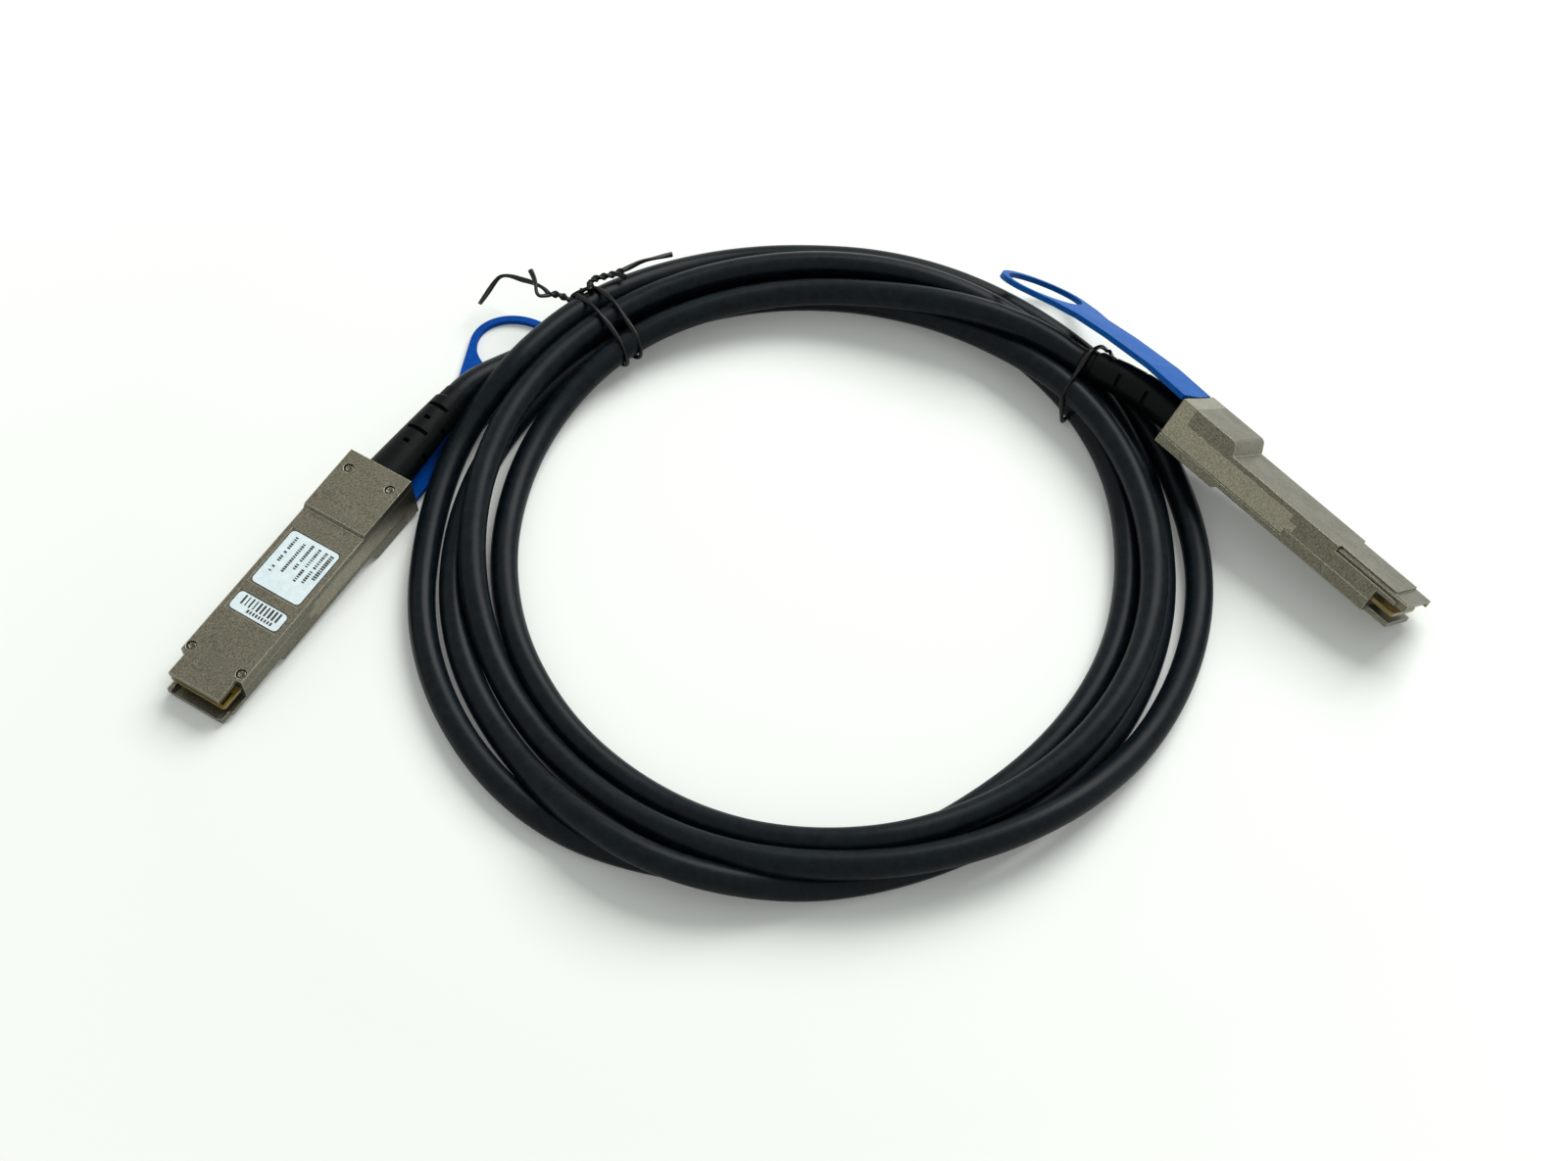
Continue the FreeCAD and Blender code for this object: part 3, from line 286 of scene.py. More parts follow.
@dataclass(frozen=True)
class Finish:
    """A surface whose colour, roughness and bump follow one grain.

    Attributes:
        name: the material's name.
        dark: hex colour of the grain's low parts.
        light: hex colour of its high parts.
        grain_mm: how far apart the grain repeats.
        roughness: the middle of the roughness.
        metallic: how much of the surface is bare metal.
        bump_mm: the grain's depth.
        edge_mm: how far every edge is softened.
        contrast: where the grain turns from dark to light.
        roughness_spread: how far the roughness strays from its middle.
        specular: the strength of the shine, for what isn't metal.
        painted_edge_shading: hex colour painted along open edges, a painted highlight on the nickel and
            painted shade on the stainless sheet, or nothing where neither edges nor seams get painted light
            or shade.
        painted_seam_shade: hex colour of the painted shade in the lines where two pieces meet, where nearby
            surfaces close a point in.
    """

    name: str
    dark: str
    light: str
    grain_mm: float
    roughness: float
    metallic: float = 0.0
    bump_mm: float = 0.01
    edge_mm: float = 0.0
    contrast: tuple[float, float] = (0.35, 0.65)
    roughness_spread: float = 0.06
    specular: float = 0.5
    # The next two colours are painted light and shade: along open edges, and in the seams.
    painted_edge_shading: str = ""
    painted_seam_shade: str = "12110e"

    def softened(self, tree: bpy.types.NodeTree, samples: int) -> bpy.types.NodeSocket:
        """The surface's normal, rounded over the edges."""
        return add(tree, "ShaderNodeBevel", {"Radius": self.edge_mm * MM}, samples=samples).outputs[0]

    def paint_edge_and_seam_shading(self, tree: bpy.types.NodeTree,
                        colour: bpy.types.NodeSocket) -> bpy.types.NodeSocket:
        """Paints the edge colour along open edges, as a painted highlight or painted shade by finish, and
        paints shade into the lines where two pieces meet.

        Args:
            tree: the material's tree.
            colour: the colour of the open faces.

        Returns:
            The colour with its painted edge light and painted seam shade.
        """
        soft = self.softened(tree, samples=4)
        flat = add(tree, "ShaderNodeNewGeometry").outputs["Normal"]
        same = add(tree, "ShaderNodeVectorMath", {0: soft, 1: flat}, operation="DOT_PRODUCT")
        # Painted highlight or shade: the edge colour shows where the softened normal bends away from the true
        # one.
        edge_shaded = mixed(tree, mapped(tree, same.outputs["Value"], PAINTED_EDGE_BEND), colour, linear(self.painted_edge_shading))
        # Painted shade in the seams: the colour darkens where nearby surfaces close a point in.
        free = add(tree, "ShaderNodeAmbientOcclusion", {"Normal": soft, "Distance": SEAM_SHADE_REACH_MM * MM},
                   samples=4).outputs["AO"]
        return mixed(tree, mapped(tree, free, SEAM_SHADE_OPEN), linear(self.painted_seam_shade), edge_shaded)

    def make(self) -> bpy.types.Material:
        """Builds the material.

        Returns:
            A material whose colour, roughness and bump follow one grain.
        """
        material = bpy.data.materials.new(self.name)
        material.use_nodes = True
        tree = material.node_tree
        tree.nodes.clear()
        place = add(tree, "ShaderNodeTexCoord").outputs["Object"]
        grain = add(tree, "ShaderNodeTexNoise", {"Vector": place, "Scale": per_metre(self.grain_mm),
                                                 "Detail": 3.0, "Roughness": 0.6}).outputs[0]
        slow = per_metre(self.grain_mm * DRIFT_GRAINS)
        drift = add(tree, "ShaderNodeTexNoise", {"Vector": place, "Scale": slow, "Detail": 2.0}).outputs[0]
        colour = ramp(tree, grain, ((self.contrast[0], self.dark), (self.contrast[1], self.light)))
        # Finishes with an edge colour get a painted edge highlight or shade, and painted seam shade.
        if self.painted_edge_shading:
            colour = self.paint_edge_and_seam_shading(tree, colour)
        rough = mapped(tree, drift, DRIFT_RANGE, (self.roughness - self.roughness_spread,
                                                  self.roughness + self.roughness_spread))
        bump_inputs = {"Height": grain, "Distance": self.bump_mm * MM, "Strength": 1.0}
        if self.edge_mm:
            bump_inputs["Normal"] = self.softened(tree, samples=6)
        bump = add(tree, "ShaderNodeBump", bump_inputs).outputs[0]
        shader = add(tree, "ShaderNodeBsdfPrincipled", {"Base Color": colour, "Roughness": rough,
                                                        "Normal": bump, "Metallic": self.metallic})
        if not self.metallic:
            shader.inputs["Specular IOR Level"].default_value = self.specular
        add(tree, "ShaderNodeOutputMaterial", {"Surface": shader.outputs[0]})
        return material


# Nickel over die-cast zinc, bead blasted: a fine dull sparkle, a painted highlight along its edges and
# painted shade in its seams.
BLASTED_NICKEL = Finish("bead_blasted_nickel", "4a473d", "7b7667", 0.45, 0.4, metallic=0.9, bump_mm=0.012,
                        edge_mm=0.3, contrast=(0.3, 0.7), painted_edge_shading="e2dfcc")
# Rolled stainless sheet: smoother than the casting, with painted shade as a dark line round its cut rims and
# in its seams.
STAINLESS = Finish("rolled_stainless_sheet", "716c5d", "908b7b", 0.5, 0.34, metallic=0.95, bump_mm=0.004,
                   edge_mm=0.42, painted_edge_shading="191713")
# Cold rolled spring steel: plain grey with a clean even gloss.
SPRING_STEEL = Finish("spring_steel_strip", "6a6a68", "858583", 0.6, 0.3, metallic=1.0, bump_mm=0.002)
# Thermoplastic elastomer, injection moulded: even saturated blue with a soft wide shine.
BLUE_TAB_A = Finish("blue_elastomer_deep", "00439a", "004ca8", 1.2, 0.46, specular=0.06, bump_mm=0.006,
                    edge_mm=0.25)
BLUE_TAB_B = Finish("blue_elastomer_bright", "0b4c98", "0f56a2", 1.2, 0.46, specular=0.05, bump_mm=0.006,
                    edge_mm=0.25)
# Moulded thermoplastic rubber: near black, duller than the cable and soft at its edges.
RELIEF_RUBBER = Finish("moulded_relief_rubber", "040506", "090c0d", 1.4, 0.42, specular=0.07, bump_mm=0.01,
                       edge_mm=0.3)
# Extruded PVC jacket: near black with a cold satin shine along each strand.
PVC_JACKET = Finish("extruded_pvc_jacket", "050b10", "0c161c", 2.4, 0.36, specular=0.1, bump_mm=0.03,
                    roughness_spread=0.07)
# Tinned brass, crimped: a warm grey, dulled by the press.
FERRULE = Finish("crimped_tinned_brass", "8e8a80", "b4b0a6", 0.8, 0.35, metallic=1.0, bump_mm=0.01)
# Aluminium foil, wrapped: bright, with small creases that break its gloss.
FOIL = Finish("aluminium_foil_wrap", "a5a7aa", "c9cbcd", 1.5, 0.3, metallic=1.0, bump_mm=0.04)
# Natural nylon, moulded: milky beige and nearly matt.
COMB = Finish("moulded_nylon", "c9c2b2", "ddd7c8", 1.5, 0.5, bump_mm=0.01)
# Solder mask over copper: brownish gold where the tracks run close under it.
SOLDER_MASK = Finish("solder_mask_over_copper", "6b5a22", "8e7a34", 0.7, 0.35, bump_mm=0.008, edge_mm=0.1)
# Filled epoxy, moulded: matt charcoal.
CHIP = Finish("moulded_epoxy_package", "101012", "1e1e20", 0.8, 0.55, bump_mm=0.01)
# Plated screw steel: darker and glossier than the casting, so that the rims of the heads show.
SCREW_STEEL = Finish("plated_screw_steel", "45433a", "6a675b", 0.5, 0.28, metallic=1.0, bump_mm=0.004,
                     edge_mm=0.12)
# Coated label film: a cold pale blue-white with a slight gloss.
LABEL_FILM = Finish("coated_label_film", "dcebef", "e9f6f9", 1.6, 0.38, bump_mm=0.002)
# Resin ribbon print: flat black with hardly any gloss.
LABEL_INK = Finish("printed_ink", "0a0c0e", "16191b", 0.5, 0.5, bump_mm=0.001)
# Soft plastic over wire, extruded: black with a slight waxy shine.
TIE_PLASTIC = Finish("plastic_coated_tie_wire", "060707", "0e1011", 0.9, 0.34, specular=0.2, bump_mm=0.02)
# Hard gold over nickel, plated: deep yellow with a sharp gloss.
GOLD = Finish("hard_gold_plating", "a8842c", "cda548", 0.6, 0.25, metallic=1.0, bump_mm=0.003)

# The finish of each node, by its whole name or by its name without the letter of its end.
NODE_FINISHES: dict[str, Finish] = {
    "bottom_shell": BLASTED_NICKEL, "top_shell": BLASTED_NICKEL, "latch_slider": STAINLESS,
    "return_springs": SPRING_STEEL, "strain_relief": RELIEF_RUBBER, "cable_core": PVC_JACKET,
    "crimp_ferrule": FERRULE, "wire_pairs": FOIL, "wire_comb": COMB, "paddle_card": SOLDER_MASK,
    "card_chips": CHIP, "shell_screws": SCREW_STEEL, "large_label": LABEL_FILM, "small_label": LABEL_FILM,
    "pull_tab_a": BLUE_TAB_A, "pull_tab_b": BLUE_TAB_B, "cable_coil": PVC_JACKET, "cable_lead": PVC_JACKET,
    "tie_main": TIE_PLASTIC, "tie_small": TIE_PLASTIC,
}


class Paints:
    """Makes each finish's material once."""

    def __init__(self) -> None:
        """Starts with no material made."""
        self.made: dict[str, bpy.types.Material] = {}

    def of(self, finish: Finish) -> bpy.types.Material:
        """Gives the material of a finish, which is made at its first use.

        Args:
            finish: the finish.

        Returns:
            Its material.
        """
        if finish.name not in self.made:
            self.made[finish.name] = finish.make()
        return self.made[finish.name]

    def dress_nodes(self, nodes: dict[str, bpy.types.Object]) -> None:
        """Gives every CAD node the finish of its piece.

        Args:
            nodes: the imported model's nodes by name.
        """
        for name, node in nodes.items():
            finish = NODE_FINISHES.get(name) or NODE_FINISHES[name.removesuffix("_a").removesuffix("_b")]
            node.data.materials.clear()
            node.data.materials.append(self.of(finish))
            LOG.info("%s dressed in %s", name, finish.name)


# --- studio ------------------------------------------------------------------------------------


@dataclass
class Studio:
    """Camera, pale floor, soft lamp and even surroundings, in metres.

    Attributes:
        surround: strength of the surroundings' light on the object.
        glow_reach: where the floor's own glow starts to rise, and where it stops.
        glow: the glow's strength at those two distances.
    """

    camera_place: Point = (-0.00477, -0.39869, 0.5325)
    camera_tilt: float = 35.0
    lens: float = 61.45
    sky_colour: str = "fbfffb"
    surround: float = 0.45
    floor_size: float = 6.0
    floor_colour: str = "f1f5f0"
    glow_reach: tuple[float, float] = (0.17, 0.9)
    glow: tuple[float, float] = (0.1, 0.55)
    lamp_place: Point = (0.6, 0.85, 1.05)
    lamp_size: float = 1.0
    lamp_power: float = 21.5

    def camera(self) -> None:
        """Makes the camera."""
        data = bpy.data.cameras.new("camera")
        data.lens = self.lens
        data.sensor_width = 36.0
        data.clip_start, data.clip_end = 0.01, 50.0
        camera = bpy.data.objects.new("camera", data)
        camera.location = self.camera_place
        camera.rotation_euler = (math.radians(self.camera_tilt), 0.0, 0.0)
        bpy.context.scene.collection.objects.link(camera)
        bpy.context.scene.camera = camera
        bpy.context.scene.view_settings.view_transform = "Standard"

    def seen(self, tree: bpy.types.NodeTree) -> bpy.types.NodeSocket:
        """Tells what is looked at from what only sheds light.

        Args:
            tree: the material's or the world's tree.

        Returns:
            One for what the camera, a gloss or a clear part sees, and nought for light on the object.
        """
        path = add(tree, "ShaderNodeLightPath").outputs
        both = add(tree, "ShaderNodeMath", {0: path["Is Camera Ray"], 1: path["Is Glossy Ray"]},
                   operation="MAXIMUM").outputs[0]
        return add(tree, "ShaderNodeMath", {0: both, 1: path["Is Transmission Ray"]},
                   operation="MAXIMUM").outputs[0]

    def surroundings(self) -> None:
        """Makes the world: even light on the object, and white where it is seen."""
        world = bpy.data.worlds.new("studio")
        bpy.context.scene.world = world
        world.use_nodes = True
        tree = world.node_tree
        tree.nodes.clear()
        strength = mapped(tree, self.seen(tree), (0.0, 1.0), (self.surround, 1.0))
        sky = add(tree, "ShaderNodeBackground", {"Color": linear(self.sky_colour), "Strength": strength})
        add(tree, "ShaderNodeOutputWorld", {"Surface": sky.outputs[0]})

    def floor(self) -> None:
        """Makes the floor, which keeps the object's soft shadow."""
        half = self.floor_size / 2
        corners = ((-half, -half, 0), (half, -half, 0), (half, half, 0), (-half, half, 0))
        mesh = bpy.data.meshes.new("floor")
        mesh.from_pydata(corners, [], [(0, 1, 2, 3)])
        material = bpy.data.materials.new("matt_white_paper")
        material.use_nodes = True
        tree = material.node_tree
        tree.nodes.clear()
        paper = add(tree, "ShaderNodeBsdfDiffuse", {"Color": linear(self.floor_colour)})
        place = add(tree, "ShaderNodeTexCoord").outputs["Object"]
        away = add(tree, "ShaderNodeVectorMath", {0: place}, operation="LENGTH").outputs["Value"]
        strength = mapped(tree, away, self.glow_reach, self.glow)
        glow = add(tree, "ShaderNodeEmission", {"Color": linear("ffffff"), "Strength": strength})
        lit = add(tree, "ShaderNodeAddShader", {0: paper.outputs[0], 1: glow.outputs[0]})
        shown = add(tree, "ShaderNodeMixShader", {0: self.seen(tree), 1: paper.outputs[0], 2: lit.outputs[0]})
        add(tree, "ShaderNodeOutputMaterial", {"Surface": shown.outputs[0]})
        mesh.materials.append(material)
        link_piece("floor", mesh)

    def lamp(self) -> None:
        """Makes the soft lamp, behind the object on its right."""
        data = bpy.data.lights.new("soft_lamp", "AREA")
        data.shape = "SQUARE"
        data.size = self.lamp_size
        data.energy = self.lamp_power
        lamp = bpy.data.objects.new("soft_lamp", data)
        lamp.location = self.lamp_place
        lamp.rotation_euler = (-Vector(self.lamp_place)).to_track_quat("-Z", "Y").to_euler()
        bpy.context.scene.collection.objects.link(lamp)


# --- the cable ---------------------------------------------------------------------------------


# Height of a strand's middle where it lies on the table.
LOW = 3.4


def from_centre(point: Point) -> Point:
    """A point about the coil's centre in millimetres, in the model's frame in metres."""
    return (point[0] + COIL_CENTRE[0]) * MM, (point[1] + COIL_CENTRE[1]) * MM, point[2] * MM


@dataclass
class WoundCable:
    """The cord between the two reliefs: a lead, a little over four turns in a loose heap, and a lead.

    Attributes:
        paints: the materials.
        diameter: thickness of the jacket, in millimetres.
        step: how many degrees of a turn lie between two points of the spline.
        exit_a: where the cord leaves the first relief, about the coil's centre.
        lead_a: the way from there to the first turn.
        lead_b: the way from the last turn into the second relief.
        turns: stations of each turn, with their angle about the coil's centre in degrees, and the
            distance from it and the height of the strand's middle in millimetres.
    """

    paints: Paints
    diameter: float = 6.8
    step: float = 7.0
    exit_a: Point = (-88.57, 44.98, 8.72)
    lead_a: tuple[Point, ...] = (
        exit_a, (-86.5, 47.95, 8.75), (-82.3, 52.2, 7.9), (-77.4, 56.4, 6.4), (-72.4, 60.8, 4.7),
        (-66.2, 66.2, 3.7))
    lead_b: tuple[Point, ...] = ((62.4, 58.6, 12.7), (65.8, 55.4, 12.2), (68.91, 52.93, 12.3))
    turns: tuple[tuple[Point, ...], ...] = (
        ((128, 92.4, LOW), (120, 91.3, LOW), (110, 90.3, LOW), (100, 89.6, LOW), (90, 89.0, LOW),
         (82, 88.0, LOW), (75, 86.9, LOW), (67, 85.8, LOW), (60, 84.8, LOW), (50, 83.2, LOW),
         (40, 81.8, LOW), (30, 80.5, LOW), (20, 79.3, LOW), (10, 77.9, LOW), (0, 76.9, LOW),
         (-10, 76.6, LOW), (-20, 76.7, LOW), (-30, 76.8, LOW), (-40, 77.2, LOW), (-50, 77.9, LOW),
         (-60, 79.2, LOW), (-67, 80.8, LOW), (-75, 82.8, LOW), (-82, 84.6, LOW), (-90, 86.7, LOW),
         (-100, 89.0, LOW), (-112, 91.6, LOW), (-120, 94.0, LOW), (-126, 95.6, LOW), (-135, 96.5, LOW),
         (-144, 96.5, LOW), (-156, 96.0, LOW), (-168, 95.1, LOW)),
        ((180, 93.6, LOW), (170, 93.2, LOW), (162, 93.8, 3.8), (156, 93.6, 5.4), (150, 92.3, 8.6),
         (146, 91.4, 11.0), (142, 91.3, 11.6), (137, 92.0, 10.9), (130, 93.0, 10.2), (124, 93.4, 9.4),
         (118, 94.4, 7.6), (112, 95.7, 5.4), (105, 96.6, 3.8), (98, 96.5, LOW), (90, 95.9, LOW),
         (80, 96.0, LOW), (70, 95.6, LOW), (60, 94.8, LOW), (50, 94.0, LOW), (42, 93.8, LOW),
         (34, 94.0, LOW), (26, 93.4, LOW), (15, 92.7, LOW), (8, 93.0, LOW), (0, 93.7, LOW), (-10, 94.1, LOW),
         (-20, 94.1, LOW), (-30, 93.8, LOW), (-38, 93.7, 4.4), (-45, 93.4, 6.4), (-52, 93.5, 8.6),
         (-60, 92.8, 9.8), (-70, 91.8, 10.1), (-80, 90.6, 10.3), (-90, 89.4, 10.2), (-100, 88.7, 9.9),
         (-110, 87.0, 8.4), (-120, 85.1, 6.6), (-130, 83.4, 5.2), (-140, 82.0, 4.0), (-150, 81.4, 3.6),
         (-160, 81.3, 4.6), (-170, 81.6, 7.0)),
        ((180, 81.9, 8.4), (170, 82.5, 9.4), (160, 83.3, 10.0), (150, 84.3, 10.2), (140, 85.4, 10.1),
         (130, 86.3, 9.8), (120, 86.9, 9.8), (110, 87.2, 9.9), (100, 87.4, 10.1), (90, 87.7, 10.2),
         (80, 88.0, 10.2), (70, 88.3, 9.6), (62, 88.3, 8.8), (54, 88.4, 7.6), (47, 88.5, 6.2),
         (40, 88.2, 4.8), (32, 87.9, 3.8), (24, 86.6, LOW), (13, 85.6, LOW), (6, 85.0, LOW), (0, 84.8, LOW),
         (-10, 85.1, LOW), (-20, 85.5, LOW), (-30, 86.0, LOW), (-36, 86.5, LOW), (-50, 87.5, LOW),
         (-60, 88.1, LOW), (-70, 88.8, LOW), (-80, 90.1, LOW), (-90, 91.9, 4.4), (-96, 93.1, 6.2),
         (-103, 94.4, 8.4), (-110, 94.9, 9.8), (-117, 94.2, 10.2), (-123, 93.2, 9.8), (-130, 91.4, 7.4),
         (-137, 89.7, 4.8), (-145, 88.7, LOW), (-150, 88.4, LOW), (-160, 87.9, LOW), (-170, 87.2, LOW)),
        ((180, 86.4, LOW), (170, 85.8, LOW), (160, 85.3, LOW), (150, 84.8, LOW), (140, 84.2, LOW),
         (130, 83.6, LOW), (120, 83.1, LOW), (110, 82.7, LOW), (100, 82.4, LOW), (90, 82.15, LOW),
         (82, 81.4, 4.2), (75, 80.4, 5.2), (67, 79.7, 6.4), (60, 79.1, 7.4), (50, 78.9, 8.5),
         (40, 79.4, 9.9), (30, 80.5, 10.2), (20, 81.0, 10.0), (10, 81.6, 9.5), (0, 82.0, 9.6),
         (-20, 83.5, 9.9), (-30, 84.0, 9.9), (-40, 84.3, 9.7), (-50, 84.3, 9.3), (-60, 83.9, 8.6),
         (-67, 84.0, 9.0), (-75, 84.4, 9.8), (-82, 84.1, 9.8), (-90, 82.8, 8.4), (-97, 81.9, 7.6),
         (-105, 80.1, 5.6), (-113, 78.3, 4.0), (-120, 77.2, LOW), (-130, 76.2, LOW), (-140, 75.4, LOW),
         (-150, 74.7, LOW), (-160, 74.5, LOW), (-170, 74.4, LOW)),
        ((180, 74.55, LOW), (170, 74.9, LOW), (160, 75.8, LOW), (150, 77.0, 3.6), (140, 77.7, 5.2),
         (130, 78.1, 7.3), (120, 78.3, 8.3), (110, 78.4, 8.7), (100, 78.7, 9.0), (90, 78.9, 9.4),
         (82, 78.6, 10.4), (75, 78.4, 11.6), (66, 79.4, 13.1), (60, 80.5, 13.8), (54, 82.3, 13.6),
         (48, 84.2, 13.2)),
    )

    def stations(self) -> list[Point]:
        """Every station with its angle counted on from turn to turn."""
        return [(angle - 360 * number, reach, height)
                for number, turn in enumerate(self.turns) for angle, reach, height in turn]

    def coil_points(self) -> list[Point]:
        """Works the turns out at even steps between the stations.

        Returns:
            Points in millimetres about the coil's centre, a little outside the strand's middle line,
            because the spline cuts inside its points.
        """
        stations = self.stations()
        widen = 1 / math.cos(math.radians(self.step / 2))
        first, last = stations[0][0], stations[-1][0]
        count = math.ceil((first - last) / self.step)
        points, here = [], 0
        for index in range(count + 1):
            angle = max(first - index * self.step, last)
            while here < len(stations) - 2 and stations[here + 1][0] >= angle:
                here += 1
            start, end = stations[here], stations[here + 1]
            share = (start[0] - angle) / (start[0] - end[0])
            reach = (start[1] + (end[1] - start[1]) * share) * widen
            height = start[2] + (end[2] - start[2]) * share
            turn = math.radians(angle)
            points.append((reach * math.cos(turn), reach * math.sin(turn), height))
        return points

    def build(self) -> bpy.types.Object:
        """Makes the cord.

        Returns:
            A curve of one open spline with the jacket's thickness.
        """
        curve = bpy.data.curves.new("wound_cable", "CURVE")
        curve.dimensions = "3D"
        curve.bevel_depth = self.diameter / 2 * MM
        curve.bevel_resolution = 7
        curve.resolution_u = 8
        points = [from_centre(point) for point in (*self.lead_a, *self.coil_points(), *self.lead_b)]
        spline = curve.splines.new("NURBS")
        spline.points.add(len(points) - 1)
        for knot, place in zip(spline.points, points):
            knot.co = (*place, 1.0)
        spline.order_u = 3
        spline.use_endpoint_u = True
        spline.use_smooth = True
        curve.materials.append(self.paints.of(PVC_JACKET))
        return link_piece("wound_cable", curve)


# --- twist ties --------------------------------------------------------------------------------


@dataclass
class TwistTie:
    """Plastic coated tie wire, a flattened strip that turns about itself along its length.

    Attributes:
        name: what the wire is called.
        paints: the materials.
        points: the wire's way about the coil's centre, in millimetres like all that follows.
        width: the wire's wider side.
        thickness: its narrower side.
        twist_pitch: the length of one turn about itself.
        slice_length: how far apart its cross-sections stand.
    """

    name: str
    paints: Paints
    points: tuple[Point, ...]
    width: float = 1.4
    thickness: float = 0.95
    twist_pitch: float = 26.0
    slice_length: float = 0.6

    def tree(self) -> bpy.types.NodeTree:
        """Builds the tree that sweeps the flat section along the wire's line while it turns.

        Returns:
            The tree, with the wire's sizes as its inputs.
        """
        tree = geometry_tree("tie_sweep", (("Width", FLOAT, 0.001), ("Thickness", FLOAT, 0.001),
                                           ("Twist Pitch", FLOAT, 0.02)))
        given = add(tree, "NodeGroupInput").outputs
        line = add(tree, "GeometryNodeResampleCurve",
                   {"Curve": given["Geometry"], "Length": self.slice_length * MM}, mode="LENGTH").outputs[0]
        along = add(tree, "GeometryNodeSplineParameter").outputs["Length"]
        turns = add(tree, "ShaderNodeMath", {0: along, 1: given["Twist Pitch"]},
                    operation="DIVIDE").outputs[0]
        tilt = add(tree, "ShaderNodeMath", {0: turns, 1: math.tau}, operation="MULTIPLY").outputs[0]
        tilted = add(tree, "GeometryNodeSetCurveTilt", {"Curve": line, "Tilt": tilt}).outputs[0]
        ring = add(tree, "GeometryNodeCurvePrimitiveCircle", {"Resolution": 14, "Radius": 0.5}).outputs[0]
        size = add(tree, "ShaderNodeCombineXYZ", {0: given["Width"], 1: given["Thickness"],
                                                  2: 1.0}).outputs[0]
        section = add(tree, "GeometryNodeTransform", {"Geometry": ring, "Scale": size}).outputs[0]
        swept = add(tree, "GeometryNodeCurveToMesh", {"Curve": tilted, "Profile Curve": section,
                                                      "Fill Caps": True}).outputs[0]
        smooth = add(tree, "GeometryNodeSetShadeSmooth", {"Geometry": swept}).outputs[0]
        close_tree(tree, smooth, self.paints.of(TIE_PLASTIC))
        return tree

    def build(self) -> bpy.types.Mesh:
        """Makes the wire.

        Returns:
            Its mesh, in its place.
        """
        curve = bpy.data.curves.new(self.name + "_line", "CURVE")
        curve.dimensions = "3D"
        curve.resolution_u = 6
        spline = curve.splines.new("NURBS")
        spline.points.add(len(self.points) - 1)
        for knot, point in zip(spline.points, self.points):
            knot.co = (*from_centre(point), 1.0)
        spline.order_u = 3
        spline.use_endpoint_u = True
        return grown(self.tree(), {"Width": self.width * MM, "Thickness": self.thickness * MM,
                                   "Twist Pitch": self.twist_pitch * MM}, curve)


def round_the_turns(angle: float, loop: tuple[Point, ...], shift: float = 0.0,
                    drift: float = 0.0) -> tuple[Point, ...]:
    """Places a loop that is drawn across the cable's turns.

    Args:
        angle: where along the coil the loop stands, in degrees.
        loop: distance from the coil's centre, height and way along the turns, point by point.
        shift: how far it is moved along the turns, in millimetres.
        drift: how much further along the loop has moved at its end.

    Returns:
        Points about the coil's centre.
    """
    turn = math.radians(angle)
    out = Vector((math.cos(turn), math.sin(turn)))
    on = Vector((math.sin(turn), -math.cos(turn)))
    placed = []
    for index, (reach, height, along) in enumerate(loop):
        spot = out * reach + on * (shift + along + drift * index / (len(loop) - 1))
        placed.append((spot.x, spot.y, height))
    return tuple(placed)


# Once round the five strands of the coil, in the terms of round_the_turns.
OVER_THE_TURNS = (
    (95.6, 13.0, 0.0), (90.0, 14.3, 0.3), (84.5, 13.9, 0.5), (79.5, 11.8, 0.4), (75.6, 10.2, 0.1),
    (73.9, 7.4, -0.2), (74.6, 4.6, -0.2), (78.0, 2.4, 0.0), (81.5, 0.55, 0.0), (88.0, 0.5, 0.0),
    (95.0, 0.6, 0.0), (96.9, 2.6, 0.0), (97.6, 6.5, 0.0), (97.4, 10.2, 0.0), (96.6, 12.4, 0.0))
# Where each tie stands along the coil, in degrees.
MAIN_TIE_ANGLE = 128.9
SMALL_TIE_ANGLE = 37.4
# Where two tails are wound about each other, both are drawn as one thicker wire that turns quickly.
WOUND_PAIR = {"width": 2.1, "thickness": 1.2, "twist_pitch": 4.4}


